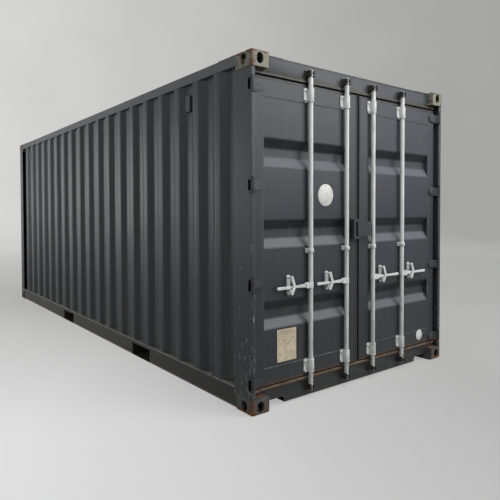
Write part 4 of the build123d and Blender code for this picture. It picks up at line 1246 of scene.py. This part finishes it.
@dataclass
class SideWalls:
    """Both long walls: one sheet each, folded to upright trapezoid ridges and welded along both rails."""

    shop: Workshop
    ridge_count: int = 19
    first_ridge: float = 0.410
    last_ridge: float = 0.390
    ridge: float = 0.076
    slope: float = 0.071
    sheet: float = 2 * MM
    fold: float = 14 * MM
    dent_count: int = 26
    dent_depth: float = 2.2 * MM
    dent_radii: tuple[float, float] = (0.06, 0.22)
    stations: int = 40
    inner_flat_shade_share: float = 0.35
    bead_step: float = 12 * MM

    def dents(self, y: np.ndarray, z: np.ndarray, seed: int) -> np.ndarray:
        """How deep the sheet is dented: a sum of round hollows, depth times exp(-(distance / radius)^2).

        Args:
            y: Where the sheet's points are along the container.
            z: Their heights.
            seed: The number that starts the random draws.

        Returns:
            The depth at every point.
        """
        rng = np.random.default_rng(seed)
        places = rng.uniform((y.min(), z.min()), (y.max(), z.max()), (self.dent_count, 2))
        radius = rng.uniform(*self.dent_radii, self.dent_count)
        depth = rng.uniform(0.3, 1.0, self.dent_count) * self.dent_depth
        away = (y[..., None] - places[:, 0]) ** 2 + (z[..., None] - places[:, 1]) ** 2
        return np.sum(depth * np.exp(-away / radius**2), axis=-1)

    def section(self, low: np.ndarray, high: np.ndarray) -> np.ndarray:
        """The section of the outer face.

        Args:
            low: The lowest corner of the right wall's box.
            high: Its highest corner.

        Returns:
            Points (y, level), level being the distance out from the inner flats.
        """
        centres = np.linspace(self.first_ridge - HALF_LENGTH, HALF_LENGTH - self.last_ridge, self.ridge_count)
        depth = high[0] - low[0] - self.sheet
        return rounded(trapezoid_wave(centres, self.ridge, self.slope, depth, low[1], high[1]), self.fold)

    def build(self) -> None:
        """Makes the two sheets and their welds."""
        low, high = box_of("side_wall_right")
        line = self.section(low, high)
        level = line[:, 1]
        fold = np.concatenate(([0.0], np.tile(FOLD_WEAR, 4 * self.ridge_count), [0.0]))
        # Painted shade: the dust value darkens the inner flats between the ridges, as if in shadow.
        hollow_shade = self.inner_flat_shade_share * (level / level.max() - 1)
        out = (0.0, high[0] - level.max())
        heights = np.linspace(low[2], high[2], self.stations)
        for seed, (side, s) in enumerate(SIDES.items()):
            faces = (line, set_back(line, -self.sheet))
            front, back = (carried(face + out, heights, (1, 0, 2)) * (s, 1, 1) for face in faces)
            dent = self.dents(front[..., 1], front[..., 2], seed)[..., None] * (s, 0, 0)
            shape = solid_sheet(front - dent, back - dent)
            shape.wear = np.repeat(np.concatenate((fold, fold[::-1])), self.stations)
            shape.dust = np.repeat(np.concatenate((hollow_shade, np.zeros(len(line)))), self.stations)
            node = f"side_wall_{side}"
            self.shop.new_piece(f"{node}_sheet", shape, "container", "wall_paint", stands_for=(node,))
            welds = joined([weld_bead(front[:, end], UPWARD, step=self.bead_step) for end in (0, -1)])
            self.shop.new_piece(f"{node}_welds", welds, "container", "wall_paint")


@dataclass
class FrontWall:
    """The far end: deep square folds from corner post to corner post."""

    shop: Workshop
    ridge_count: int = 8
    ridge: float = 0.110
    slope: float = 18 * MM
    sheet: float = 2 * MM
    fold: float = 7 * MM
    stations: int = 24
    bead_step: float = 10 * MM

    def build(self) -> None:
        """Makes the folded sheet, its ridges pointing outwards."""
        low, high = box_of("front_wall")
        first = low[0] + self.ridge
        centres = np.linspace(first, -first, self.ridge_count)
        depth = high[1] - low[1] - self.sheet
        line = rounded(trapezoid_wave(centres, self.ridge, self.slope, depth, low[0], high[0]), self.fold)
        heights = np.linspace(low[2], high[2], self.stations)
        out = (0.0, high[1] - line[:, 1].max())
        faces = (line, set_back(line, -self.sheet))
        front, back = (carried(face + out, heights, (0, 1, 2)) for face in faces)
        shape = solid_sheet(front, back)
        self.shop.new_piece("front_wall_sheet", shape, "container", "wall_paint", stands_for=("front_wall",))
        welds = joined([weld_bead(front[:, end], UPWARD, step=self.bead_step) for end in (0, -1)])
        self.shop.new_piece("front_wall_welds", welds, "container", "wall_paint")


@dataclass
class Roof:
    """The die-pressed roof: one sheet with shallow troughs across it that end short of the rails."""

    shop: Workshop
    trough_count: int = 22
    trough_width: float = 0.130
    slope: float = 0.045
    depth: float = 18 * MM
    edge: float = 0.070
    end_margin: float = 0.020
    sheet: float = 2 * MM
    plate_length: float = 0.220
    steps: int = 7

    @staticmethod
    def soft(t: np.ndarray) -> np.ndarray:
        """A smooth step from 0 to 1: t^2 (3 - 2t), with t held between 0 and 1."""
        t = np.clip(t, 0, 1)
        return t * t * (3 - 2 * t)

    def build(self) -> None:
        """Makes the sheet: its level drops by depth times a soft step along Y times a soft step along X."""
        low, high = box_of("roof_panel")
        half = self.trough_width / 2
        first = -(HALF_LENGTH - CASTING[1] - self.plate_length) + self.end_margin + half
        centres = np.linspace(first, -first, self.trough_count)
        offsets = np.linspace((-half, half - self.slope), (-half + self.slope, half), self.steps).T.ravel()
        y = np.concatenate(([low[1]], (centres[:, None] + offsets).ravel(), [high[1]]))
        dip = self.soft((half - np.abs(offsets)) / self.slope)
        trough = np.concatenate(([0.0], np.tile(dip, len(centres)), [0.0]))
        reach = high[0] - self.edge
        ramp = np.linspace(reach - self.slope, reach, self.steps)
        middle = np.linspace(-reach + 2 * self.slope, reach - 2 * self.slope, 20)
        x = np.concatenate(([low[0]], -ramp[::-1], middle, ramp, [high[0]]))
        across = self.soft((reach - np.abs(x)) / self.slope)
        grid_x, grid_y = np.meshgrid(x, y, indexing="ij")
        top = high[2] - self.depth * across[:, None] * trough[None, :]
        front = np.stack((grid_x, grid_y, top), axis=-1)
        shape = solid_sheet(front, front - (0, 0, self.sheet))
        self.shop.new_piece("roof_panel_sheet", shape, "container", "roof_paint", stands_for=("roof_panel",))


# The door leaves


@dataclass
class DoorLeaf:
    """One door leaf: its pressed panel, the seal round it, its fasteners and what is stuck to it."""

    shop: Workshop
    side: str
    recess_heights: tuple[float, ...] = (0.6905, 1.28875, 1.887)
    flat: float = 0.072
    slope: float = 0.066
    sheet: float = 2.5 * MM
    fold: float = 11 * MM
    bar_places: tuple[float, float] = (0.175, 0.600)
    bracket_heights: tuple[float, float] = (0.255, 2.345)
    bracket_plate: float = 6 * MM
    bolt_across: float = 0.041
    bolt_up: float = 0.036
    guide_height: float = 1.150
    guide_bolt: float = 27.5 * MM
    bar_axis: float = -3.004
    housing: float = 96 * MM
    housing_radius: float = 24 * MM
    plug_turn: float = 38.0
    strip_inset: float = 60 * MM
    strip_width: float = 26 * MM
    strip_thick: float = 2 * MM
    rivet_step: float = 0.130
    strip_reach: float = 17 * MM
    strip_stand: float = 2.5 * MM
    strip_short: float = 8 * MM
    wire_depth: float = -2.992
    lip_points: int = 28
    lip_pinch: float = 0.30
    lip_width: float = 0.32
    lip_power: float = 0.6
    plug_up: float = 26 * MM
    film: float = 0.5 * MM

    # The section of a housing's collar (radius, height), and the bow of a bracket's wire clip (x, z)
    COLLAR = np.array(((19, 0), (24.2, 0), (25, 1.5), (25, 7), (24.2, 9), (19, 9))) * MM
    BOW_X = (22, 34, 44, 47, 50, 43, 31, 24)
    BOW_Z = (322, 326, 300, 262, 226, 190, 180, 196)

    @property
    def sign(self) -> float:
        """-1 for the left leaf and 1 for the right one."""
        return SIDES[self.side]

    @property
    def body(self) -> str:
        """The body that the leaf's pieces move with."""
        return f"door_{self.side}"

    def fit(
        self, name: str, shape: Shape, slot: str, finish: str | None = None, stands_for: str = ""
    ) -> None:
        """Makes a shape a piece that moves with the leaf.

        Args:
            name: The piece's name.
            shape: Its points and faces.
            slot: The record's material slot.
            finish: The finish, where it isn't the slot's own.
            stands_for: The frame part that it replaces, if it does.
        """
        self.shop.new_piece(name, shape, self.body, slot, finish, (stands_for,) if stands_for else ())

    def panel(self) -> None:
        """The sheet with its three pressed recesses, a trapezoid wave up the leaf that goes inwards.

        Its dust is the section's lean, the rise of the level over the run, as a share of the slopes' own.
        Above 0 it paints settled dust and a painted highlight where the sheet leans back and looks up, and
        below 0 painted shade where it looks down.
        """
        node = f"door_panel_{self.side}"
        low, high = box_of(node)
        depth = high[1] - low[1] - self.sheet
        centres = np.array(self.recess_heights)
        line = rounded(trapezoid_wave(centres, self.flat, self.slope, depth, low[2], high[2]), self.fold, 6)
        across = np.linspace(low[0], high[0], 12)
        faces = (line, set_back(line, self.sheet))
        shape = solid_sheet(*(carried(face + (0.0, low[1]), across, (2, 1, 0)) for face in faces))
        run = np.gradient(line, axis=0)
        lean = run[:, 1] / np.linalg.norm(run, axis=1) / np.sin(np.arctan2(depth, self.slope))
        shape.dust = np.repeat(np.concatenate((np.clip(lean, -1, 1), np.zeros(len(line)))), len(across))
        self.fit(f"{node}_sheet", shape, "door_paint", stands_for=node)

    def seal(self) -> None:
        """The rubber round the leaf: a two-lipped section carried round it.

        A section point (a, b) lies the share a of the way from the leaf's edge to the seal's outer edge, and
        the share b of the way through its thickness. The section is an oval, pinched between its two lips:
        a and b are halves of the cosine and sine to a power, plus a half.
        """
        node = f"door_seal_{self.side}"
        low, high = box_of(node)
        leaf_low, leaf_high = box_of(f"door_frame_{self.side}")
        turn = np.linspace(0, 2 * np.pi, self.lip_points, endpoint=False)
        pinch = 1 - self.lip_pinch * np.exp(-((np.minimum(turn, 2 * np.pi - turn) / self.lip_width) ** 2))
        waves = (np.cos(turn), np.sin(turn))
        out, back = (0.5 * np.sign(wave) * np.abs(wave) ** self.lip_power for wave in waves)
        share_out, share_back = 0.5 + out * pinch, 0.5 + back
        inside, outside = upright_loop(leaf_low, leaf_high, 0.0)[:4], upright_loop(low, high, 0.0)[:4]
        points = inside[:, None, :] + share_out[None, :, None] * (outside - inside)[:, None, :]
        points[..., 1] = low[1] + share_back * (high[1] - low[1])
        closed = np.concatenate((points, points[:, :1]), axis=1)
        shape = Shape(closed.reshape(-1, 3), grid_faces(4, len(turn) + 1, ring=True))
        self.fit(f"{node}_lips", shape, "seal_rubber", stands_for=node)

    def bolts(self) -> None:
        """Bolt heads on the bar brackets and guides."""
        leaf_face = box_of(f"door_frame_{self.side}")[0][1] - self.bracket_plate
        panel_face = box_of(f"door_panel_{self.side}")[0][1] - self.bracket_plate
        places = [
            (self.sign * bar + across, leaf_face, height + up)
            for bar in self.bar_places
            for height in self.bracket_heights
            for across in (-self.bolt_across, self.bolt_across)
            for up in (-self.bolt_up, self.bolt_up)
        ]
        self.fit(f"bracket_bolts_{self.side}", hex_bolt(Facing.DOORS).repeated(places), "galvanised_steel")
        small = hex_bolt(Facing.DOORS, 8 * MM, 4 * MM)
        places = [
            (self.sign * bar + across, panel_face, self.guide_height)
            for bar in self.bar_places
            for across in (-self.guide_bolt, self.guide_bolt)
        ]
        self.fit(f"guide_bolts_{self.side}", small.repeated(places), "galvanised_steel")

    def bracket_trim(self) -> None:
        """A collar at each end of every bar housing, and two dark plugs in its right-hand side."""
        collar = hoop(self.COLLAR, 28, Facing.SKY)
        bars = [self.sign * bar for bar in self.bar_places]
        centres = [(x, self.bar_axis, height) for x in bars for height in self.bracket_heights]
        shifts = (-self.housing / 2 - 1 * MM, self.housing / 2 - 8 * MM)
        ends = [(x, y, z + shift) for x, y, z in centres for shift in shifts]
        self.fit(f"bracket_collars_{self.side}", collar.repeated(ends), "galvanised_steel")
        plug = dome_rivet(Facing.DOORS, 5.5 * MM, 3.5 * MM)
        turn = np.radians(self.plug_turn)
        across, outward = self.housing_radius * np.sin(turn), self.housing_radius * np.cos(turn) - 1 * MM
        shifts = (-self.plug_up, self.plug_up)
        places = [(x + across, y - outward, z + shift) for x, y, z in centres for shift in shifts]
        self.fit(f"bracket_plugs_{self.side}", plug.repeated(places), "galvanised_steel", "keeper_steel")

    def panel_weld(self) -> None:
        """The weld that holds the pressed panel in its frame: a bead round the panel's edge."""
        low, high = box_of(f"door_panel_{self.side}")
        bead = weld_bead(upright_loop(low + 1 * MM, high - 1 * MM, low[1]), INWARD, 2.2 * MM, 9 * MM)
        # The bead's paler paint is a painted highlight along the panel's edge.
        self.fit(f"panel_weld_{self.side}", bead, "door_paint", "top_rail")

    def seal_strip(self) -> None:
        """The flat steel strip that clamps the seal on the leaf's inner side, with a rivet every 130 mm."""
        low, high = box_of(f"door_frame_{self.side}")
        low, high = low + self.strip_inset, high - self.strip_inset
        back, wide, thick = high[1] + self.strip_inset, self.strip_width, self.strip_thick
        bars = [
            block((low[0], back, low[2]), (low[0] + wide, back + thick, high[2])),
            block((high[0] - wide, back, low[2]), (high[0], back + thick, high[2])),
            block((low[0] + wide, back, low[2]), (high[0] - wide, back + thick, low[2] + wide)),
            block((low[0] + wide, back, high[2] - wide), (high[0] - wide, back + thick, high[2])),
        ]
        self.fit(f"seal_strip_{self.side}", joined(bars), "galvanised_steel")
        loop = upright_loop(low + wide / 2, high - wide / 2, back + thick)
        rivets = dome_rivet(Facing.FAR_END, 5 * MM, 2.5 * MM).repeated(resampled(loop, self.rivet_step))
        self.fit(f"seal_rivets_{self.side}", rivets, "galvanised_steel")

    def plate_trim(self) -> None:
        """Four blind rivets that hold the data plate, and the bead of dark mastic round it."""
        low, high = box_of("data_plate")
        places = upright_loop(low + 12 * MM, high - 12 * MM, low[1])[:4]
        rivets = dome_rivet(Facing.DOORS, 3.5 * MM, 2 * MM).repeated(places)
        self.fit("data_plate_rivets", rivets, "aged_plate")
        middle, size = (low + high)[[0, 2]] / 2, (high - low)[[0, 2]]
        edge = plate_outline(*size, 6 * MM) + middle
        loop = np.stack((edge[:, 0], np.full(len(edge), high[1]), edge[:, 1]), axis=1)
        bead = tube(np.vstack((loop, loop[:1])), 3 * MM, 8, INWARD)
        self.fit("data_plate_bead", bead, "aged_plate", "mastic")

    def meeting_strip(self) -> None:
        """The dark rubber strip down the leaf's front edge, where the two leaves meet."""
        low, high = box_of(f"door_frame_{self.side}")
        edge = min(abs(low[0]), abs(high[0])) + 1 * MM
        strip = block(
            (self.sign * edge, low[1] - self.strip_stand, low[2] + self.strip_short),
            (self.sign * (edge + self.strip_reach), low[1], high[2] - self.strip_short),
        )
        self.fit(f"meeting_strip_{self.side}", strip, "seal_rubber")

    def spring_wires(self) -> None:
        """The wire clip beside each lower bracket: a bow that swings out to the right and comes back."""
        line = rounded(np.stack((self.BOW_X, self.BOW_Z), axis=1) * MM, 6 * MM, 4)
        depth = np.full(len(line), self.wire_depth)
        bars = [self.sign * bar for bar in self.bar_places]
        paths = [np.stack((x + line[:, 0], depth, line[:, 1]), axis=1) for x in bars]
        wires = joined([tube(path, 2 * MM, 8, INWARD) for path in paths])
        self.fit(f"spring_wires_{self.side}", wires, "galvanised_steel")

    def sticker(self, name: str, centre: tuple[float, float], radius: float, face: float) -> None:
        """A blank round sticker: a disc of film with a rounded edge.

        Args:
            name: The piece's name.
            centre: Its middle, as (x, z).
            radius: Its radius.
            face: The Y of the surface that it lies on.
        """
        film = self.film
        outline = np.array(((0, 0), (radius, 0), (radius, 0.5 * film), (radius - film, film), (0, film)))
        disc = turned(outline, 72, Facing.DOORS).repeated([(centre[0], face, centre[1])])
        self.fit(name, disc, "aged_plate", "sticker")

    def build(self) -> None:
        """Makes everything on this leaf."""
        for part in (self.panel, self.seal, self.bolts, self.bracket_trim, self.panel_weld, self.seal_strip):
            part()
        self.meeting_strip()
        self.spring_wires()
        if self.side == "left":
            self.sticker("blank_disc_left", (-0.398, 1.583), 0.088, box_of("door_panel_left")[0][1])
            self.plate_trim()
        else:
            self.sticker("blank_disc_right", (0.924, 0.262), 0.050, box_of("door_frame_right")[0][1])
        self.shop.eased(f"door_frame_{self.side}", 2.5 * MM, "worn_edge")
        # The hinges' eased edges take pale paint: rubbed paint and a painted highlight.
        self.shop.eased(f"door_hinges_{self.side}", 2.2 * MM, "rubbed_edge")
        for kind in ("bar_brackets", "handle_retainers"):
            self.shop.eased(f"{kind}_{self.side}", 1.0 * MM)
        for kind in ("lock_bar", "handle", "catch"):
            for place in PLACES:
                self.shop.eased(f"{kind}_{self.side}_{place}", 0.8 * MM)


@dataclass
class FrameSteel:
    """The welded frame with what is welded to it, and the face of the lock box on the right leaf."""

    shop: Workshop
    casting_inner: float = 1.057
    casting_faces: tuple[float, float] = (0.118, 2.473)
    post_lip_edge: float = 1.178
    post_side: float = 1.209
    lip_thick: float = 8 * MM
    notch: float = 0.122
    end_reach: float = 1.180
    header_lip: tuple[float, float] = (2.442, 2.458)
    sill_lip: tuple[float, float] = (0.147, 0.165)
    lip_depth: float = 10 * MM
    end_setback: float = 9 * MM
    end_overlap: float = 40 * MM
    cover_reach: float = 58 * MM
    cover_thick: float = 2.6 * MM
    cover_inset: float = 4 * MM
    cover_gap: float = 5 * MM
    cut_near: float = 0.853
    cut_far: float = 0.970
    cut_top: float = 0.060
    cut_radius: float = 0.030
    cut_spare: float = 20 * MM
    side_welds: tuple[tuple[float, float], ...] = ((-3.020, -2.852), (2.852, 3.022))
    side_weld_out: float = 1.2152
    end_weld: tuple[float, float] = (1.213, 1.095)
    end_weld_out: float = 3.0235
    seam_places: tuple[float, float] = (-2.8185, 2.8775)
    seam_out: float = 1.2125
    seam_heights: tuple[float, float] = (0.175, 2.505)

    # The finishes of a member's faces and of its edges, where they aren't its slot's own and the worn edge
    FACES = {"top_side_rail": "top_rail", "bottom_side_rail": "low_rail", "door_post": "post_paint"}
    EDGES = {
        "top_side_rail": "top_rail",
        "bottom_side_rail": "low_rail",
        "door_sill": "rusty_edge",
        "front_bottom_rail": "rusty_edge",
    }

    def post_lips(self) -> None:
        """The front edge of each door post, rolled inwards. It stops at every hinge."""
        front = box_of("door_post_right")[0][1]
        gaps = [z + end for z in HINGE_HEIGHTS for end in (-self.notch / 2, self.notch / 2)]
        stretches = np.reshape((self.casting_faces[0], *gaps, self.casting_faces[1]), (-1, 2))
        for side, s in SIDES.items():
            outline = plate_outline(self.post_side - self.post_lip_edge, self.lip_thick, 3 * MM)
            outline = outline + (s * (self.post_side + self.post_lip_edge) / 2, front + self.lip_thick / 2)
            parts = [prism(outline, low, high, Facing.SKY) for low, high in stretches if high - low > 4 * MM]
            self.shop.new_piece(f"post_lip_{side}", joined(parts), "container", "frame_paint", "post_paint")

    def ends_over_castings(self) -> None:
        """The header's and the sill's last stretch to the post: a lip, and a plate set back behind it."""
        for member, lip, plate in (
            ("door_header", self.header_lip, (self.header_lip[0], self.casting_faces[1])),
            ("door_sill", self.sill_lip, (self.casting_faces[0], self.sill_lip[1])),
        ):
            front = box_of(member)[0][1]
            behind = front + self.lip_depth + self.end_setback
            parts = []
            for s in SIDES.values():
                inner, outer = s * self.casting_inner, s * self.end_reach
                parts.append(block((inner, front, lip[0]), (outer, behind, lip[1])))
                hidden = inner - s * self.end_overlap
                parts.append(block((hidden, behind, plate[0]), (outer, behind + self.end_setback, plate[1])))
            self.shop.new_piece(f"{member}_ends", joined(parts), "container", "frame_paint", "rusty_edge")

    def lock_cover(self) -> None:
        """The lock box's closed face, which reaches into the lug's frame, with a wall round its end."""
        low, high = box_of("lock_box")
        thick, end, back = self.cover_thick, -self.cover_reach, high[1] - self.cover_gap
        front, floor, top = low[1], low[2] + self.cover_inset, high[2] - self.cover_inset
        parts = [
            block((end, front - thick, low[2] + 1 * MM), (high[0], front, high[2] - 1 * MM)),
            block((end, front, floor), (end + thick, back, top)),
            block((end + thick, front, floor), (low[0], back, floor + thick)),
            block((end + thick, front, top - thick), (low[0], back, top)),
        ]
        self.shop.new_piece("lock_box_cover", joined(parts), "door_right", "door_paint")

    def sill_cutter(self) -> Shape:
        """What the sill's two cut-outs take away: at each end a rectangle with one corner on an arc.

        Returns:
            Both as one shape, longer than the sill is deep.
        """
        turn = np.linspace(0, np.pi / 2, 9)
        centre = (self.cut_near + self.cut_radius, self.cut_top - self.cut_radius)
        arc = np.array(centre) + self.cut_radius * np.stack((-np.cos(turn), np.sin(turn)), axis=1)
        below = -self.cut_spare
        far = self.cut_far
        outline = np.vstack(((self.cut_near, below), arc, (far, self.cut_top), (far, below)))
        low, high = box_of("door_sill")
        span = (-high[1] - self.cut_spare, self.cut_spare - low[1])
        return joined([prism(outline * (s, 1), *span, Facing.DOORS) for s in SIDES.values()])

    def casting_welds(self) -> None:
        """Beads round every post where it meets its castings, and down the posts' inner edges."""
        beads, seams = [], []
        for s in SIDES.values():
            x = s * self.side_weld_out
            for level in self.casting_faces:
                runs = [((x, near, level), (x, far, level)) for near, far in self.side_welds]
                runs.append(tuple((s * end, self.end_weld_out, level) for end in self.end_weld))
                beads += [weld_bead(np.array(run), UPWARD, 2.6 * MM, 7 * MM) for run in runs]
            for y in self.seam_places:
                run = np.array([(s * self.seam_out, y, z) for z in self.seam_heights])
                seams.append(weld_bead(run, INWARD, 2.8 * MM, 12 * MM))
        self.shop.new_piece("casting_welds", joined(beads), "container", "frame_paint", "worn_edge")
        # The seams down the posts take paler paint: a painted highlight along the joint.
        self.shop.new_piece("post_seams", joined(seams), "container", "frame_paint", "top_rail")

    def build(self) -> None:
        """Eases the edges of the rolled sections, adds what is welded on, and finishes the rest as it is."""
        self.lock_cover()
        self.post_lips()
        self.ends_over_castings()
        self.casting_welds()
        for node, slot in self.shop.slots.items():
            if slot == "frame_paint":
                width = (1.0 if "lugs" in node else 2.5) * MM
                member = node.removesuffix("_left").removesuffix("_right")
                worn = self.EDGES.get(member, "worn_edge")
                cutter = self.sill_cutter() if node == "door_sill" else None
                self.shop.eased(node, width, worn, self.FACES.get(member), cutter)
        for node in ("lock_box", "lock_lug"):
            self.shop.eased(node, 1.5 * MM, "worn_edge")
        self.shop.eased("cam_keepers", 1.2 * MM)
        self.shop.eased("vent_covers", 1.0 * MM)
        for level in ("top", "bottom"):
            self.shop.eased(f"corner_castings_{level}", 10.0 * MM)
        plain = ("underside_coating", "plywood", "aged_plate")
        for node, slot in self.shop.slots.items():
            if slot in plain or node == "roof_corner_plates":
                self.shop.as_is(node)


@dataclass
class Fixings:
    """Small fasteners: floor screws, the vents' screws and the heads of the hinge pins."""

    shop: Workshop
    screws_across: int = 12
    screw_edge: float = 0.055
    row_count: int = 20
    row_ends: tuple[float, float] = (-2.66, 2.66)
    vent_width: float = 0.070
    vent_screw_gap: float = 0.024
    hinge_pin: tuple[float, float] = (1.197, -3.015)
    lug_top: float = 0.059
    pin_head: tuple[float, float] = (7 * MM, 4 * MM)

    def floor_screws(self) -> None:
        """Countersunk screws in even rows across the floor."""
        low, high = box_of("floor_boards")
        xs = np.linspace(low[0] + self.screw_edge, high[0] - self.screw_edge, self.screws_across)
        ys = np.linspace(*self.row_ends, self.row_count)
        grid = np.stack(np.meshgrid(xs, ys, (high[2],), indexing="ij"), axis=-1)
        screw = dome_rivet(Facing.SKY, 6 * MM, 0.8 * MM)
        self.shop.new_piece("floor_screws", screw.repeated(grid), "container", "plywood", "keeper_steel")

    def vent_screws(self) -> None:
        """One round-headed fixing above each vent and one below it, on the wall's inner flat."""
        low, high = box_of("vent_covers")
        wall = box_of("side_wall_right")[0][0] + 2 * MM
        ys = (low[1] + self.vent_width / 2, high[1] - self.vent_width / 2)
        zs = (low[2] - self.vent_screw_gap, high[2] + self.vent_screw_gap)
        for side, s in SIDES.items():
            facing = Facing.LEFT if s < 0 else Facing.RIGHT
            screw = dome_rivet(facing, 7 * MM, 4 * MM).repeated([(s * wall, y, z) for y in ys for z in zs])
            self.shop.new_piece(f"vent_screws_{side}", screw, "container", "wall_paint")

    def pin_heads(self) -> None:
        """A round head on top of each hinge pin."""
        head = dome_rivet(Facing.SKY, *self.pin_head)
        pin_x, pin_y = self.hinge_pin
        places = [(s * pin_x, pin_y, z + self.lug_top) for s in SIDES.values() for z in HINGE_HEIGHTS]
        heads = head.repeated(places)
        self.shop.new_piece("hinge_pin_heads", heads, "container", "frame_paint", "keeper_steel")

    def build(self) -> None:
        """Makes all of them."""
        self.floor_screws()
        self.vent_screws()
        self.pin_heads()


# The room, the lights and the camera


@dataclass
class Studio:
    """A pale floor, a pale backdrop, soft lamps and a camera at the height of a standing person."""

    camera_place: tuple[float, float, float] = (-3.441, -5.645, 1.456)
    heading: float = 35.34
    tilt: float = -1.33
    roll: float = -0.26
    lens: float = 35.34
    shift: tuple[float, float] = (0.0824, -0.0542)
    floor_radius: float = 30.0
    wall_height: float = 30.0
    wall_bend: float = 4.0

    def camera(self) -> None:
        """Places the camera: it looks along its heading from +Y towards +X, tilted and rolled in degrees."""
        heading, tilt, roll = np.radians((self.heading, self.tilt, self.roll))
        ahead = np.array((np.sin(heading) * np.cos(tilt), np.cos(heading) * np.cos(tilt), np.sin(tilt)))
        right = np.array((np.cos(heading), -np.sin(heading), 0.0))
        up = np.cross(right, ahead)
        turned_right = np.cos(roll) * right + np.sin(roll) * up
        turned_up = np.cos(roll) * up - np.sin(roll) * right
        data = bpy.data.cameras.new("camera")
        data.lens, data.sensor_width = self.lens, 36.0
        data.shift_x, data.shift_y = self.shift
        camera = placed("camera", data)
        axes = np.column_stack((turned_right, turned_up, -ahead))
        camera.matrix_world = Matrix.Translation(self.camera_place) @ Matrix(axes.tolist()).to_4x4()
        bpy.context.scene.camera = camera

    def lamp(self, name: str, place: Place, aim: Place, size: float, watts: float) -> None:
        """A square soft lamp that faces a point.

        Args:
            name: The lamp's name.
            place: Where it hangs.
            aim: The point that it faces.
            size: The length of its side.
            watts: Its power.
        """
        data = bpy.data.lights.new(name, "AREA")
        data.shape, data.size, data.energy = "SQUARE", size, watts
        lamp = placed(name, data)
        back = np.array(place, float) - np.array(aim, float)
        back /= np.linalg.norm(back)
        right = np.cross((0, 0, 1) if abs(back[2]) < 0.99 else (0, 1, 0), back)
        right /= np.linalg.norm(right)
        axes = np.column_stack((right, np.cross(back, right), back))
        lamp.matrix_world = Matrix.Translation(place) @ Matrix(axes.tolist()).to_4x4()

    def room(self) -> None:
        """The floor disc and the backdrop that rises from its edge, one turned outline each."""
        paper = StudioPaper("studio_paper").made()
        turn, bend, flat = np.linspace(0, np.pi / 2, 9), self.wall_bend, self.floor_radius - self.wall_bend
        wall = np.stack((flat + bend * np.sin(turn), bend - bend * np.cos(turn)), axis=1)
        outlines = {
            "floor": np.array(((0, 0), (flat, 0))),
            "backdrop": np.vstack((wall, (self.floor_radius, self.wall_height))),
        }
        for name, outline in outlines.items():
            shape = turned(outline, 96, Facing.SKY)
            mesh = bpy.data.meshes.new(name)
            mesh.from_pydata(shape.points.tolist(), [], shape.faces.tolist())
            mesh.validate()
            mesh.shade_smooth()
            mesh.materials.append(paper)
            thing = placed(name, mesh)
            if name == "backdrop":
                thing.visible_shadow = thing.visible_diffuse = False

    def sky(self) -> None:
        """A plain light grey world."""
        world = bpy.data.worlds.new("studio_air")
        world.use_nodes = True
        air = world.node_tree.nodes["Background"].inputs
        air["Color"].default_value = linear("#DDE0E3")
        air["Strength"].default_value = 0.05
        bpy.context.scene.world = world

    def build(self) -> None:
        """Sets up the whole room."""
        bpy.context.scene.view_settings.view_transform = "Standard"
        self.room()
        self.sky()
        doors = (0.0, -3.0, 1.2)
        self.lamp("door_right", (4.5, -8.5, 4.5), doors, 4.5, 305.0)
        self.lamp("door_low", (1.0, -9.5, 1.2), (0.0, -3.0, 0.6), 3.5, 70.0)
        self.lamp("door_top", (0.0, -4.2, 6.5), doors, 2.0, 44.0)
        self.lamp("front_top", (0.5, -6.0, 6.0), doors, 4.0, 222.0)
        self.lamp("left_side", (-8.0, -5.5, 5.2), (-1.2, -2.0, 2.2), 5.0, 200.0)
        self.lamp("left_end", (-7.0, 9.0, 2.3), (-1.2, 0.0, 1.4), 3.2, 215.0)
        self.lamp("right_end", (8.0, 6.5, 4.5), (1.2, 1.0, 1.3), 4.0, 330.0)
        self.lamp("roof_lamp", (0.0, 0.8, 6.5), (0.0, 0.8, 2.6), 2.5, 150.0)
        self.camera()


def main() -> None:
    """Loads the frame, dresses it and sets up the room."""
    logging.basicConfig(level=logging.INFO, format="%(name)s: %(message)s")
    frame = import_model()
    shop = Workshop(frame)
    leaves = [DoorLeaf(shop, side) for side in SIDES]
    for part in (SideWalls(shop), FrontWall(shop), Roof(shop), *leaves, FrameSteel(shop), Fixings(shop)):
        part.build()
    Studio().build()


if __name__ == "__main__":
    main()
